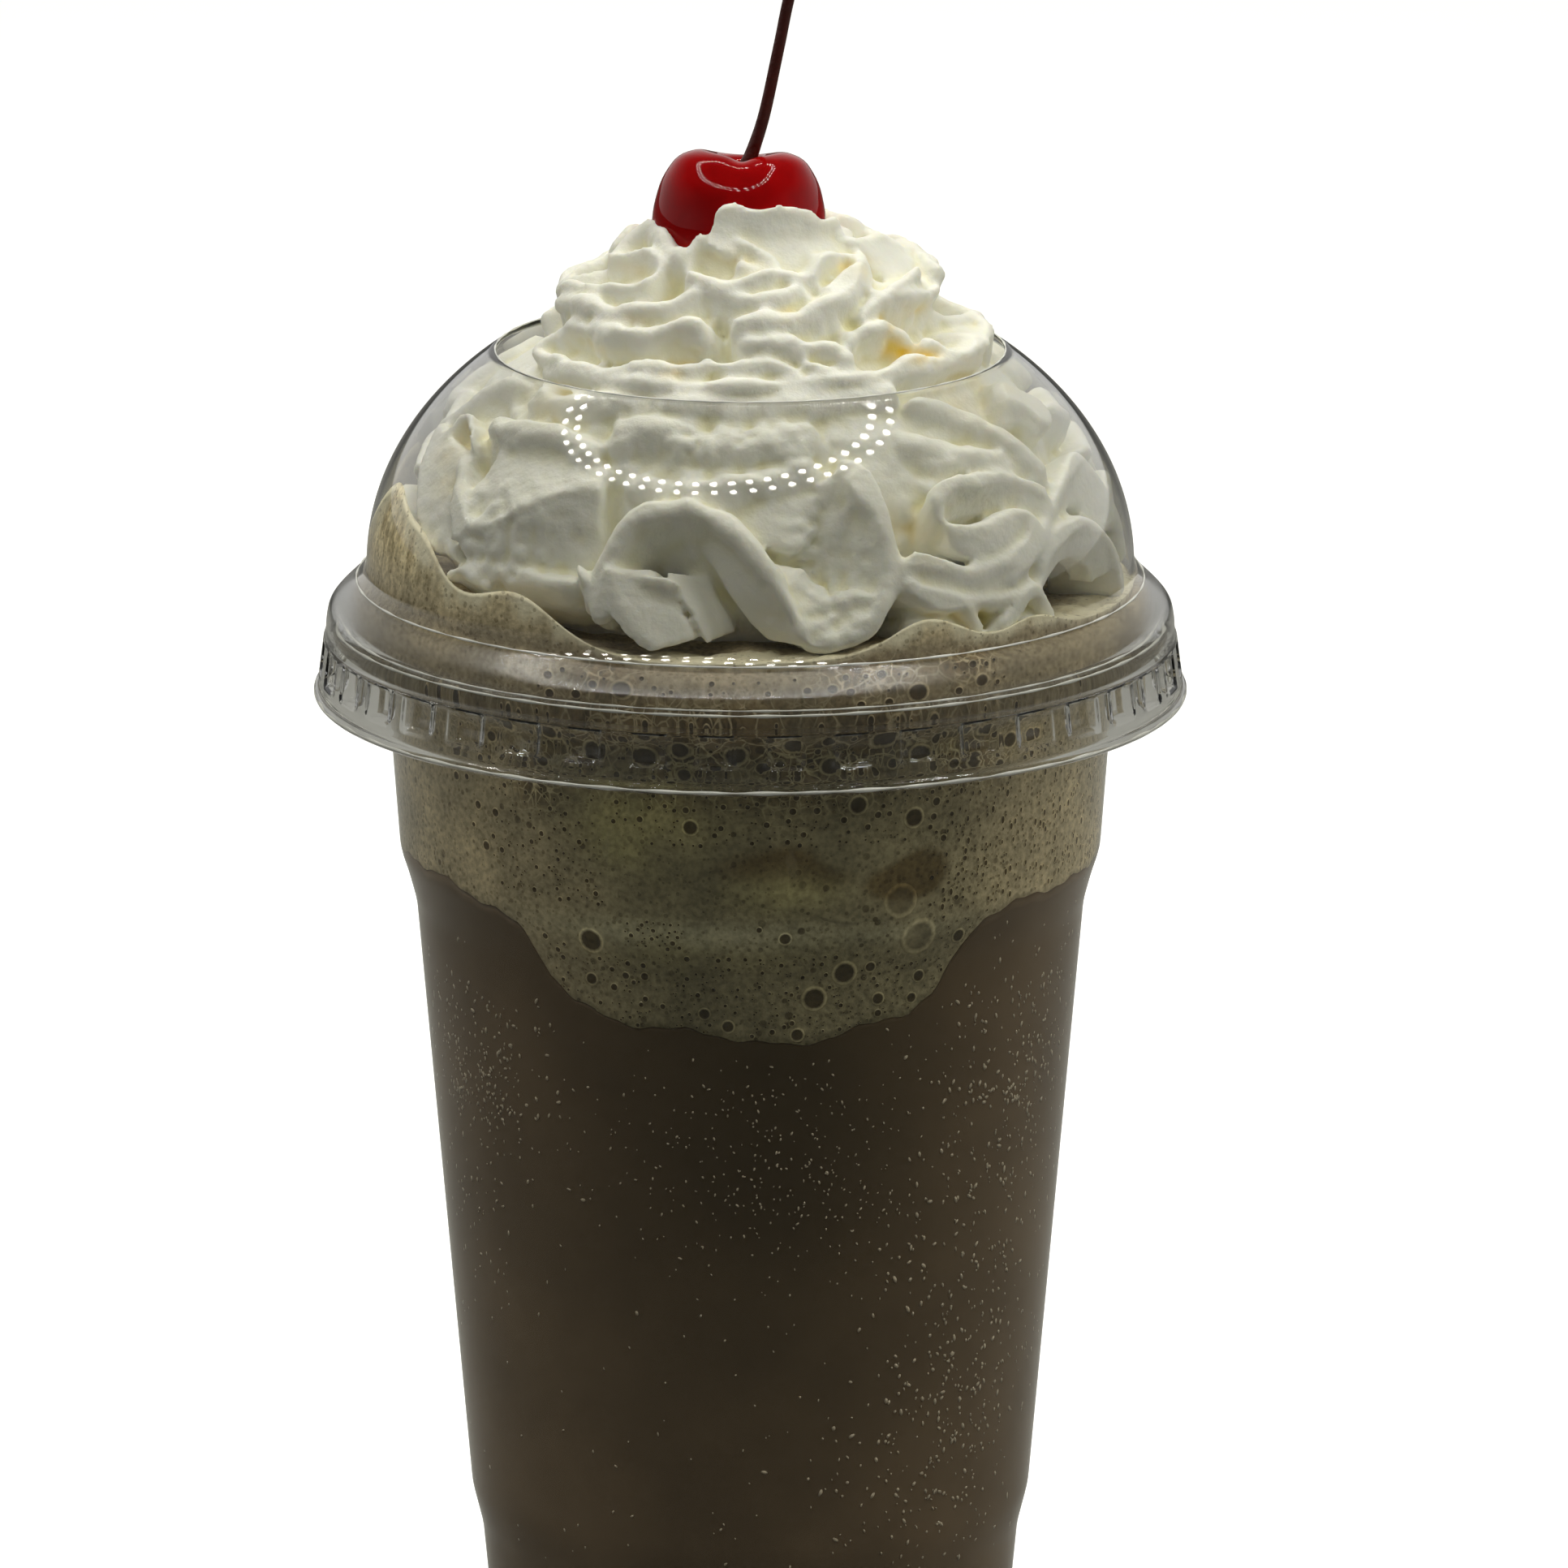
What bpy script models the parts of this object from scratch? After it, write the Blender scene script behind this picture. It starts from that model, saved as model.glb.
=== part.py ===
"""An ice cream float in a clear plastic cup with a domed lid.

Blender 4.5 script in metres, +Z up. The origin is the centre of the cup's foot, on the
surface that the cup stands on. The front of the float faces -Y.
"""
import math

import bmesh
import bpy
from mathutils import Matrix, Vector

MM = 0.001

# Sheet and clearances
SHEET = 0.5 * MM
GAP = 0.3 * MM
CREAM_GAP = 0.5 * MM

# Roundness of the turned pieces. The lugged skirt has two points for each lug.
CUP_SIDES = 40
LUG_COUNT = 40
DOME_STEPS = 6

# Cup, outside: standing ring, wall with a lower step, stacking shoulder, flared lip
FOOT_RISE = 3.2 * MM
CUP_OUTLINE = (
    (27.4 * MM, 0.0 * MM),
    (29.3 * MM, 0.9 * MM),
    (29.9 * MM, 3.0 * MM),
    (32.55 * MM, 31.7 * MM),
    (33.75 * MM, 36.0 * MM),
    (39.95 * MM, 109.4 * MM),
    (40.95 * MM, 113.4 * MM),
    (41.75 * MM, 115.6 * MM),
    (43.4 * MM, 137.5 * MM),
)
STANDING_RING_INNER = 24.6 * MM
FOOT_PANEL_RADIUS = 22.3 * MM
RIM_CENTRE = (48.15 * MM, 142.55 * MM)
RIM_TUBE = 1.45 * MM

# Lid: part of an ellipsoid with a hole at the top, a flare, a bead and a lugged skirt
HOLE_RADIUS = 30.2 * MM
DOME_RADIUS = 45.6 * MM
DOME_HEIGHT = 34.5 * MM
DOME_FOOT = 150.3 * MM
LID_FLARE = (
    (48.3 * MM, 147.3 * MM),
    (50.0 * MM, 145.3 * MM),
)
LID_BEAD = (
    (50.5 * MM, 143.3 * MM),
    (50.6 * MM, 142.1 * MM),
)
LUG_TOP = 140.3 * MM
LUG_BOTTOM = 138.0 * MM
LUG_DEPTH = 1.4 * MM
SKIRT_AT_LUGS = 51.1 * MM
SKIRT_EDGE = (
    (51.6 * MM, 136.9 * MM),
    (52.0 * MM, 134.5 * MM),
)

# Foam: lower edge with a tongue at the front, top that swells up the side of the dome.
# Each swell has its azimuth, its height and its half width in degrees.
FOAM_SIDE_LEVEL = 115.2 * MM
FOAM_TONGUE_DROP = 13.7 * MM
FOAM_TONGUE_HALF_WIDTH = 46.0
FOAM_TONGUE_BLUNTNESS = 0.6
FOAM_EDGE_WAVE = 0.5 * MM
FOAM_INNER_LEVEL = 99.0 * MM
FOAM_INNER_SHARE = 0.45
FOAM_MIDDLE_SHARE = 0.82
FOAM_TOP = 148.6 * MM
FOAM_TOP_WAVE = 0.4 * MM
FOAM_SWELLS = (
    (-76.0, 12.5 * MM, 12.0),
    (-60.0, 7.5 * MM, 11.0),
    (-38.0, 6.6 * MM, 12.0),
    (27.0, 4.0 * MM, 8.0),
    (47.0, 2.2 * MM, 7.0),
    (160.0, 3.5 * MM, 20.0),
    (232.0, 5.5 * MM, 16.0),
)
FOAM_WALL_HEIGHTS = (109.4 * MM, 113.4 * MM, 115.6 * MM, 137.5 * MM, 142.6 * MM)
FOAM_LID_RADIUS = 46.7 * MM
FOAM_LID_HEIGHTS = (144.6 * MM, 147.0 * MM)
SWELL_INNER_RADIUS = 36.0 * MM
FOAM_TOP_RADII = (42.0 * MM, 39.0 * MM, 36.0 * MM, 18.0 * MM)
FOAM_ROOM_FLOOR = 130.0 * MM
FOAM_ROOM_REACH = 1.15

# Scoop of ice cream that shows through the foam at the front
SCOOP_CENTRE = (0.0 * MM, -15.0 * MM, 123.8 * MM)
SCOOP_RADII = (31.5 * MM, 28.6 * MM, 15.5 * MM)
SCOOP_ROLL = math.radians(9.0)
SCOOP_SIDES = 18
SCOOP_RINGS = 8
SCOOP_SWELL = 0.03

# Cream: a lumpy core in the dome, which narrows to a crown above the hole. The section of
# a ribbon has the share of its depth and of its half thickness at each corner.
CORE_OUTLINE = (
    (33.0 * MM, 146.5 * MM),
    (37.0 * MM, 152.0 * MM),
    (37.5 * MM, 160.0 * MM),
    (37.0 * MM, 166.5 * MM),
    (33.8 * MM, 171.5 * MM),
    (27.2 * MM, 175.8 * MM),
    (21.4 * MM, 180.5 * MM),
    (17.2 * MM, 184.5 * MM),
    (14.4 * MM, 187.6 * MM),
    (12.4 * MM, 190.2 * MM),
    (10.4 * MM, 191.6 * MM),
)
CORE_SIDES = 24
CORE_LUMP = 0.8 * MM
CROWN_OUTLINE = (
    (28.8 * MM, 176.0 * MM),
    (27.6 * MM, 178.0 * MM),
    (25.8 * MM, 180.0 * MM),
    (22.3 * MM, 184.0 * MM),
    (20.4 * MM, 186.0 * MM),
    (15.2 * MM, 190.0 * MM),
    (12.6 * MM, 192.0 * MM),
    (11.2 * MM, 194.6 * MM),
)
RIBBON_STEP = 2.4 * MM
RIBBON_STEP_SHARE = 0.3
RIBBON_END = 0.6
RIBBON_SECTION = ((0.0, 0.55), (0.28, 1.0), (1.0, 0.0), (0.28, -1.0), (0.0, -0.55))
CREAM_GRAIN = 0.9 * MM
CREAM_FACES = 3650

# Ribbons of piped cream. Each has its thickness, its depth towards the middle and how far
# it is set back, in millimetres, then its way along the outside of the cream as azimuth in
# degrees, from the front towards the right, and height in millimetres.
RIBBONS = (
    # the great fold at the front, down to the foam and up again into a lobe
    (6.6, 13, 0, ((-19, 149), (-23, 154), (-21, 160.5), (-14, 164.2), (-7, 163.4), (-1, 158.6),
                  (4, 154), (9, 151.5), (16, 152), (21, 157), (21, 163.5), (18, 169.5))),
    (8.0, 10, 1.6, ((-18, 158), (-17, 154), (-12, 150.5))),
    (7.0, 10, 2.4, ((-9, 160), (-4, 156), (2, 152))),
    (7.0, 9, 2.0, ((16, 164), (15, 158), (13, 153))),
    # the rosette to the right of it
    (2.8, 10, 0, ((50, 161), (41, 161.8), (34.5, 161.6), (34, 164.6), (41, 166.4), (51, 164.6),
                  (54, 160.6), (49, 157.4), (40, 156.8), (32.5, 158.4))),
    (3.4, 11, 0, ((25, 157), (31, 156.8), (38, 154.8), (44, 154.6), (49, 156.4))),
    (3.0, 12, 0, ((24, 151.6), (31, 153.2), (37, 149.2), (44, 152), (50, 153), (57, 149.2))),
    # petals at the far right
    (3.4, 11, 0, ((58, 159), (61, 165), (70, 165.6), (78, 161.6), (81, 155), (80, 149.4))),
    (3.2, 11, 0, ((55, 152), (56, 157.4), (63, 159.4), (70, 156.8), (73, 150))),
    # rough lumps at the left
    (11.0, 13, 0, ((-60, 164), (-48, 163), (-37, 165.4))),
    (6.5, 13, 0.6, ((-57, 158), (-50, 156.5), (-42, 153.6), (-34, 153.6), (-27, 157))),
    (3.2, 10, 0, ((-88, 165), (-80, 168.4), (-71, 166), (-63, 169.4), (-56, 171.6))),
    (7.0, 11, 0, ((-34, 171), (-16, 171), (-2, 170), (10, 171.6), (24, 171), (38, 170),
                  (52, 171))),
    # rings of the crown, just above the hole and over it
    (3.8, 9, 0, ((-90, 177.4), (-66, 178.2), (-46, 177.2), (-24, 178), (0, 177.2), (22, 178.3),
                 (46, 177.3), (70, 178.2), (90, 177.5))),
    (4.2, 9, 0, ((-74, 178.8), (-60, 181.2), (-49, 179.9), (-38, 182.4), (-27, 184.2),
                 (-14, 182.9), (-5, 180.8), (6, 182.6), (18, 184), (29, 182.8), (40, 179.8),
                 (53, 179.4), (66, 181.8))),
    (3.8, 9, 0, ((-85, 182), (-66, 183.6), (-48, 183.6), (-30, 186.6), (-14, 185.8), (0, 184.2),
                 (13, 186.4), (28, 187), (42, 184.6))),
    (3.2, 9, 0, ((55, 180.6), (66, 183.4), (78, 181.2), (88, 181.4), (100, 178.6))),
    # petals of the crown
    (2.7, 9, 0, ((-80, 185.4), (-64, 188.4), (-50, 190.2), (-37, 190.4), (-32, 188.4),
                 (-44, 186.4), (-60, 185), (-74, 184.6))),
    (2.7, 9, 0, ((-33, 191.6), (-20, 192.4), (-6, 191.6), (7, 191.6), (14, 189.8), (4, 187.9),
                 (-10, 187.4), (-22, 187.2))),
    (4.8, 6, 0, ((-21, 192), (-11, 193.8), (1, 192.6), (16, 193.6), (32, 192.6), (46, 193),
                 (58, 190.6))),
    (4.0, 7, 0, ((48, 189.8), (60, 191), (72, 190.6), (84, 188.8))),
    (3.2, 9, 0, ((48, 188.6), (64, 189.8), (82, 189.4), (93, 186.8), (82, 184.2), (64, 183.6),
                 (50, 184.6))),
    (4.0, 7, 0, ((-70, 187.2), (-84, 188.6), (-92, 189.8), (-102, 190.8))),
)
BACK_STRETCH = 1.06

# Cherry: turned outline with a dimple, tipped to the right, and its curved stem, whose
# points have their way to the right and up from the dimple, then the stem's radius there
CHERRY_OUTLINE = (
    (1.5 * MM, 4.6 * MM),
    (2.4 * MM, 6.2 * MM),
    (4.6 * MM, 7.0 * MM),
    (7.4 * MM, 6.2 * MM),
    (9.5 * MM, 3.6 * MM),
    (10.3 * MM, 0.4 * MM),
    (9.9 * MM, -3.0 * MM),
    (8.0 * MM, -6.4 * MM),
    (4.6 * MM, -9.0 * MM),
)
CHERRY_DIMPLE = 4.2 * MM
CHERRY_BOTTOM = -9.9 * MM
CHERRY_CENTRE = (-1.3 * MM, -0.8 * MM, 192.4 * MM)
CHERRY_TILT = math.radians(7.0)
CHERRY_SIDES = 18
STEM_POINTS = (
    (0.0 * MM, 0.55 * MM, 0.8 * MM),
    (0.3 * MM, 1.6 * MM, 1.15 * MM),
    (0.9 * MM, 3.4 * MM, 0.95 * MM),
    (2.2 * MM, 8.0 * MM, 0.85 * MM),
    (3.9 * MM, 15.8 * MM, 0.82 * MM),
    (4.8 * MM, 20.5 * MM, 0.82 * MM),
    (6.4 * MM, 27.5 * MM, 0.9 * MM),
    (8.4 * MM, 33.0 * MM, 1.0 * MM),
    (9.2 * MM, 34.8 * MM, 1.5 * MM),
)
STEM_KNOB = 0.5 * MM
STEM_SIDES = 6


def clear_scene():
    """Remove every object, so that the script can be run again."""
    for thing in list(bpy.data.objects):
        bpy.data.objects.remove(thing, do_unlink=True)


def material(name, colour, roughness, metallic=0.0, transmission=0.0):
    """A plain Principled material."""
    made = bpy.data.materials.new(name)
    made.use_nodes = True
    shader = made.node_tree.nodes["Principled BSDF"]
    shader.inputs["Base Color"].default_value = (*colour, 1.0)
    shader.inputs["Roughness"].default_value = roughness
    shader.inputs["Metallic"].default_value = metallic
    shader.inputs["Transmission Weight"].default_value = transmission
    made.diffuse_color = (*colour, 1.0)
    return made


def between(value, pairs):
    """Radius of an outline of (radius, height) pairs at one height."""
    for (low_radius, low), (high_radius, high) in zip(pairs, pairs[1:]):
        if value <= high:
            share = max(0.0, (value - low) / (high - low))
            return low_radius + share * (high_radius - low_radius)
    return pairs[-1][0]


def polar(azimuth, radius, height):
    """A point from its azimuth in degrees, which is zero at the front and grows rightwards."""
    angle = math.radians(azimuth)
    return Vector((radius * math.sin(angle), -radius * math.cos(angle), height))


def bridge(mesh, one, other):
    """Triangles between two rings, of which one may have twice as many points. A bent
    quad is split along its shorter diagonal, so that neighbours follow each other."""
    coarse, fine = sorted((one, other), key=len)
    count = len(coarse)
    for side in range(count):
        after = (side + 1) % count
        if len(fine) == count:
            a, b, c, d = coarse[side], coarse[after], fine[after], fine[side]
            if (a.co - c.co).length < (b.co - d.co).length:
                mesh.faces.new((a, b, c))
                mesh.faces.new((a, c, d))
            else:
                mesh.faces.new((a, b, d))
                mesh.faces.new((b, c, d))
        else:
            middle = fine[2 * side + 1]
            mesh.faces.new((coarse[side], middle, fine[2 * side]))
            mesh.faces.new((coarse[side], coarse[after], middle))
            mesh.faces.new((coarse[after], fine[2 * after], middle))


def rings_object(name, rings, finish, first=None, last=None):
    """A closed solid from rings of points. A ring's end is closed by a centre point, and
    rings without centre points close on themselves."""
    mesh = bmesh.new()
    rows = [[mesh.verts.new(point) for point in ring] for ring in rings]
    for one, other in zip(rows, rows[1:]):
        bridge(mesh, one, other)
    if first is None:
        bridge(mesh, rows[-1], rows[0])
    for centre, ring in ((first, rows[0]), (last, rows[-1])):
        if centre is not None:
            tip = mesh.verts.new(centre)
            for side in range(len(ring)):
                mesh.faces.new((tip, ring[side], ring[(side + 1) % len(ring)]))
    bmesh.ops.recalc_face_normals(mesh, faces=mesh.faces)
    data = bpy.data.meshes.new(name)
    mesh.to_mesh(data)
    mesh.free()
    made = bpy.data.objects.new(name, data)
    bpy.context.scene.collection.objects.link(made)
    if finish is not None:
        data.materials.append(finish)
    data.shade_smooth()
    data.set_sharp_from_angle(angle=math.radians(40.0))
    return made


def turned(outline, sides):
    """Rings of a turned piece, one for each (radius, height) pair of its outline."""
    step = 360.0 / sides
    return [[polar(side * step, radius, height) for side in range(sides)] for radius, height in outline]


def combine(body, tool, operation):
    """Cut a body by a tool, or keep only what both hold, and remove the tool."""
    change = body.modifiers.new(operation.lower(), "BOOLEAN")
    change.operation = operation
    change.object = tool
    apply_modifiers(body)
    bpy.data.objects.remove(tool, do_unlink=True)


def apply_modifiers(body):
    """Replace an object's mesh by what its modifiers make of it."""
    evaluated = body.evaluated_get(bpy.context.evaluated_depsgraph_get())
    data = bpy.data.meshes.new_from_object(evaluated)
    body.modifiers.clear()
    body.data = data


def keep_one_body(body):
    """Drop loose scraps and fill sealed hollows: only the largest closed surface stays."""
    mesh = bmesh.new()
    mesh.from_mesh(body.data)
    left = set(mesh.faces)
    groups = []
    while left:
        open_faces = [left.pop()]
        group = []
        while open_faces:
            face = open_faces.pop()
            group.append(face)
            for edge in face.edges:
                for other in edge.link_faces:
                    if other in left:
                        left.remove(other)
                        open_faces.append(other)
        groups.append(group)
    largest = max(groups, key=group_volume)
    spare = [face for group in groups if group is not largest for face in group]
    bmesh.ops.delete(mesh, geom=spare, context="FACES")
    mesh.to_mesh(body.data)
    mesh.free()


def group_volume(group):
    """Signed volume within a closed group of faces."""
    total = 0.0
    for face in group:
        corners = [corner.co for corner in face.verts]
        for second, third in zip(corners[1:], corners[2:]):
            total += corners[0].dot(second.cross(third)) / 6.0
    return total


# The cup

def cup_inner_outline():
    """The cup's inside, from the floor's edge up to the flare's foot."""
    ring_floor = (
        (FOOT_PANEL_RADIUS, FOOT_RISE + SHEET),
        (STANDING_RING_INNER + 0.3 * SHEET, SHEET),
        (CUP_OUTLINE[0][0] - 0.3 * SHEET, SHEET),
    )
    wall = tuple((radius - SHEET, height) for radius, height in CUP_OUTLINE[2:])
    return ring_floor + wall


def rim_arc():
    """The rolled rim, from under the flare round the outside to the cup's inside."""
    radius, height = RIM_CENTRE
    angles = [math.radians(degrees) for degrees in (-145, -90, -35, 20, 75, 130, 165)]
    return [(radius + RIM_TUBE * math.cos(a), height + RIM_TUBE * math.sin(a)) for a in angles]


def make_cup():
    """A thin cup whose foot panel is raised inside its standing ring."""
    outline = [(FOOT_PANEL_RADIUS, FOOT_RISE), (STANDING_RING_INNER, 0.0)]
    outline += list(CUP_OUTLINE)
    outline += rim_arc()
    outline += reversed(cup_inner_outline())
    top = Vector((0.0, 0.0, FOOT_RISE + SHEET))
    bottom = Vector((0.0, 0.0, FOOT_RISE))
    finish = material("clear cup plastic", (0.80, 0.80, 0.78), 0.08, transmission=1.0)
    return rings_object("cup", turned(outline, CUP_SIDES), finish, bottom, top)


# The lid

def dome_arc(inset):
    """The dome's outline from the hole's edge down to the dome's foot."""
    wide = DOME_RADIUS - inset
    tall = DOME_HEIGHT - inset
    start = math.acos(HOLE_RADIUS / wide)
    angles = [start * (1.0 - step / DOME_STEPS) for step in range(DOME_STEPS + 1)]
    return [(wide * math.cos(a), DOME_FOOT + tall * math.sin(a)) for a in angles]


def lid_rings(inset):
    """Rings down one face of the lid. Every second point of the lug rows is drawn in."""
    sides = 2 * LUG_COUNT
    step = 360.0 / sides
    flare = [(radius - inset, height - 0.4 * inset) for radius, height in LID_FLARE]
    rings = turned(dome_arc(inset) + flare, LUG_COUNT)
    rings += turned([(radius - inset, height) for radius, height in LID_BEAD], sides)
    for height in (LUG_TOP, LUG_BOTTOM):
        radii = (SKIRT_AT_LUGS - inset, SKIRT_AT_LUGS - inset - LUG_DEPTH)
        rings.append([polar(side * step, radii[side % 2], height) for side in range(sides)])
    rings += turned([(radius - inset, height) for radius, height in SKIRT_EDGE], sides)
    return rings


def make_lid():
    """The clear lid: outer face down to the skirt's edge, then the inner face back up."""
    rings = lid_rings(0.0) + lid_rings(SHEET)[::-1]
    finish = material("clear lid plastic", (0.84, 0.84, 0.83), 0.06, transmission=1.0)
    return rings_object("dome_lid", rings, finish)


# What fills the cup

def cup_space(height):
    """Radius of what fills the cup at one height, clear of the wall."""
    return between(height, CUP_OUTLINE[1:]) - SHEET - GAP


def dome_space(height, gap):
    """Radius left inside the dome at one height, clear of the lid."""
    rise = max(0.0, height - DOME_FOOT) / (DOME_HEIGHT - SHEET - gap)
    return (DOME_RADIUS - SHEET - gap) * math.sqrt(max(0.0, 1.0 - rise * rise))


def foam_edge(azimuth):
    """Height of the foam's lower edge on the cup's wall."""
    turn = (azimuth + 180.0) % 360.0 - 180.0
    share = max(0.0, 1.0 - (turn / FOAM_TONGUE_HALF_WIDTH) ** 2)
    wave = FOAM_EDGE_WAVE * math.sin(math.radians(5.0 * turn + 40.0))
    return FOAM_SIDE_LEVEL - FOAM_TONGUE_DROP * share ** FOAM_TONGUE_BLUNTNESS + wave


def foam_top(azimuth, radius):
    """Height of the foam's top, which climbs the side of the dome in a few places."""
    rise = 0.0
    for centre, height, width in FOAM_SWELLS:
        turn = (azimuth - centre + 180.0) % 360.0 - 180.0
        rise += height * math.exp(-(turn / width) ** 2)
    outward = (radius - SWELL_INNER_RADIUS) / (DOME_RADIUS - SWELL_INNER_RADIUS)
    outward = min(1.0, max(0.0, outward))
    wave = FOAM_TOP_WAVE * math.sin(math.radians(3.0 * azimuth)) * radius / DOME_RADIUS
    return FOAM_TOP + wave + rise * outward * outward


def interface_rings(lift):
    """Rings of the surface between drink and foam, from the middle out to the wall."""
    step = 360.0 / CUP_SIDES
    rings = []
    for share in (FOAM_INNER_SHARE, FOAM_MIDDLE_SHARE, 1.0):
        ring = []
        for side in range(CUP_SIDES):
            azimuth = side * step
            edge = foam_edge(azimuth)
            blend = ((share - FOAM_INNER_SHARE) / (1.0 - FOAM_INNER_SHARE)) ** 2
            height = FOAM_INNER_LEVEL + blend * (edge - FOAM_INNER_LEVEL) + lift
            radius = share * cup_space(edge + lift) if share < 1.0 else cup_space(height)
            ring.append(polar(azimuth, radius, height))
        rings.append(ring)
    return rings


def make_drink():
    """The drink, up to the foam, clear of the cup's wall and floor."""
    outline = [
        (FOOT_PANEL_RADIUS, FOOT_RISE + SHEET + GAP),
        (STANDING_RING_INNER + SHEET, SHEET + GAP),
        (CUP_OUTLINE[0][0] - SHEET, SHEET + GAP),
    ]
    outline += [(cup_space(height), height) for _, height in CUP_OUTLINE[2:5]]
    rings = turned(outline, CUP_SIDES)
    step = 360.0 / CUP_SIDES
    surface = interface_rings(-GAP)
    for order, height in enumerate(FOAM_WALL_HEIGHTS[:2]):
        ring = []
        for side in range(CUP_SIDES):
            below = surface[-1][side].z - (2 - order) * GAP
            ring.append(polar(side * step, cup_space(min(height, below)), min(height, below)))
        rings.append(ring)
    rings += surface[::-1]
    finish = material("root beer", (0.045, 0.022, 0.012), 0.1)
    floor = Vector((0.0, 0.0, FOOT_RISE + SHEET + GAP))
    middle = Vector((0.0, 0.0, FOAM_INNER_LEVEL - GAP))
    return rings_object("drink", rings, finish, floor, middle)


def foam_top_rings(lift):
    """Rings of the foam's top from the lid inwards."""
    step = 360.0 / CUP_SIDES
    rings = []
    for radius in (None, *FOAM_TOP_RADII):
        ring = []
        for side in range(CUP_SIDES):
            azimuth = side * step
            height = foam_top(azimuth, radius or DOME_RADIUS)
            wide = radius or dome_space(height, GAP)
            ring.append(polar(azimuth, wide, height + lift))
        rings.append(ring)
    return rings


def foam_room():
    """The space that the cream leaves to the foam, a little above the foam's top."""
    top = foam_top_rings(CREAM_GAP)
    reach = FOAM_ROOM_REACH
    beyond = [Vector((reach * point.x, reach * point.y, point.z)) for point in top[0]]
    below = [Vector((point.x, point.y, FOAM_ROOM_FLOOR)) for point in beyond]
    low = Vector((0.0, 0.0, FOAM_ROOM_FLOOR))
    high = Vector((0.0, 0.0, FOAM_TOP + CREAM_GAP))
    return rings_object("foam room", [below, beyond, *top], None, low, high)


def make_foam():
    """The head of foam: it fills the cup's mouth and the foot of the dome."""
    step = 360.0 / CUP_SIDES
    surface = interface_rings(GAP)
    rings = list(surface)
    for order, height in enumerate(FOAM_WALL_HEIGHTS[:3]):
        ring = []
        for side in range(CUP_SIDES):
            level = max(height, surface[-1][side].z + (order + 1) * GAP)
            ring.append(polar(side * step, cup_space(level), level))
        rings.append(ring)
    rim_radius = RIM_CENTRE[0] - RIM_TUBE - GAP
    lip = ((cup_space(FOAM_WALL_HEIGHTS[3]), FOAM_WALL_HEIGHTS[3]), (rim_radius, FOAM_WALL_HEIGHTS[4]))
    lid = [(FOAM_LID_RADIUS, height) for height in FOAM_LID_HEIGHTS]
    rings += turned(list(lip) + lid, CUP_SIDES)
    top = foam_top_rings(0.0)
    for _ in range(2):
        climb = []
        for side in range(CUP_SIDES):
            start = rings[-1][side].z
            level = 0.5 * (start + top[0][side].z)
            if start < DOME_FOOT:
                level = min(level, DOME_FOOT)
            climb.append(polar(side * step, dome_space(level, GAP), level))
        rings.append(climb)
    rings += top
    finish = material("foam", (0.42, 0.32, 0.20), 0.6)
    low = Vector((0.0, 0.0, FOAM_INNER_LEVEL + GAP))
    high = Vector((0.0, 0.0, FOAM_TOP))
    return rings_object("foam_head", rings, finish, low, high)


def scoop_solid(name, extra, finish):
    """The scoop as a rolled ellipsoid with a few shallow swells."""
    rings = []
    roll = Matrix.Rotation(SCOOP_ROLL, 3, "Y")
    centre = Vector(SCOOP_CENTRE)
    for ring in range(1, SCOOP_RINGS):
        lean = math.pi * ring / SCOOP_RINGS - math.pi / 2.0
        points = []
        for side in range(SCOOP_SIDES):
            turn = 2.0 * math.pi * side / SCOOP_SIDES
            swell = 1.0 + SCOOP_SWELL * math.sin(3.0 * turn + 2.0 * lean)
            flat = math.cos(lean) * swell
            point = Vector((
                (SCOOP_RADII[0] + extra) * flat * math.sin(turn),
                -(SCOOP_RADII[1] + extra) * flat * math.cos(turn),
                (SCOOP_RADII[2] + extra) * math.sin(lean),
            ))
            points.append(centre + roll @ point)
        rings.append(points)
    pole = roll @ Vector((0.0, 0.0, SCOOP_RADII[2] + extra))
    return rings_object(name, rings, finish, centre - pole, centre + pole)


def make_scoop(foam):
    """The scoop, cut by the cup's wall where it presses on it, and its bed in the foam."""
    finish = material("vanilla ice cream", (0.62, 0.52, 0.30), 0.5)
    scoop = scoop_solid("ice_cream_scoop", 0.0, finish)
    outline = [(cup_space(height), height) for height in (FOAM_WALL_HEIGHTS[0], *FOAM_WALL_HEIGHTS[1:4])]
    low = Vector((0.0, 0.0, outline[0][1]))
    high = Vector((0.0, 0.0, outline[-1][1]))
    wall = rings_object("wall space", turned(outline, CUP_SIDES), None, low, high)
    combine(scoop, wall, "INTERSECT")
    combine(foam, scoop_solid("scoop bed", GAP, None), "DIFFERENCE")
    keep_one_body(foam)


# The cream

def cream_space(height):
    """Radius of the cream's outside at one height: the dome's inside, then the crown."""
    if height < CROWN_OUTLINE[0][1]:
        return dome_space(height, CREAM_GAP)
    return between(height, CROWN_OUTLINE)


def smooth_way(points, step):
    """A smooth way through (azimuth, height) points, with a point at about every step."""
    way = []
    ends = [points[0], *points, points[-1]]
    for before, start, end, after in zip(ends, ends[1:], ends[2:], ends[3:]):
        run = (cream_point(end) - cream_point(start)).length
        count = max(1, round(run / step))
        for part in range(count):
            t = part / count
            way.append(tuple(
                0.5 * (2 * b + (c - a) * t + (2 * a - 5 * b + 4 * c - d) * t * t
                       + (3 * b - a - 3 * c + d) * t ** 3)
                for a, b, c, d in zip(before, start, end, after)
            ))
    way.append(points[-1])
    return way


def cream_point(spot):
    """The point on the cream's outside at an azimuth and a height in millimetres."""
    azimuth, height = spot
    return polar(azimuth, cream_space(height * MM), height * MM)


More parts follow.
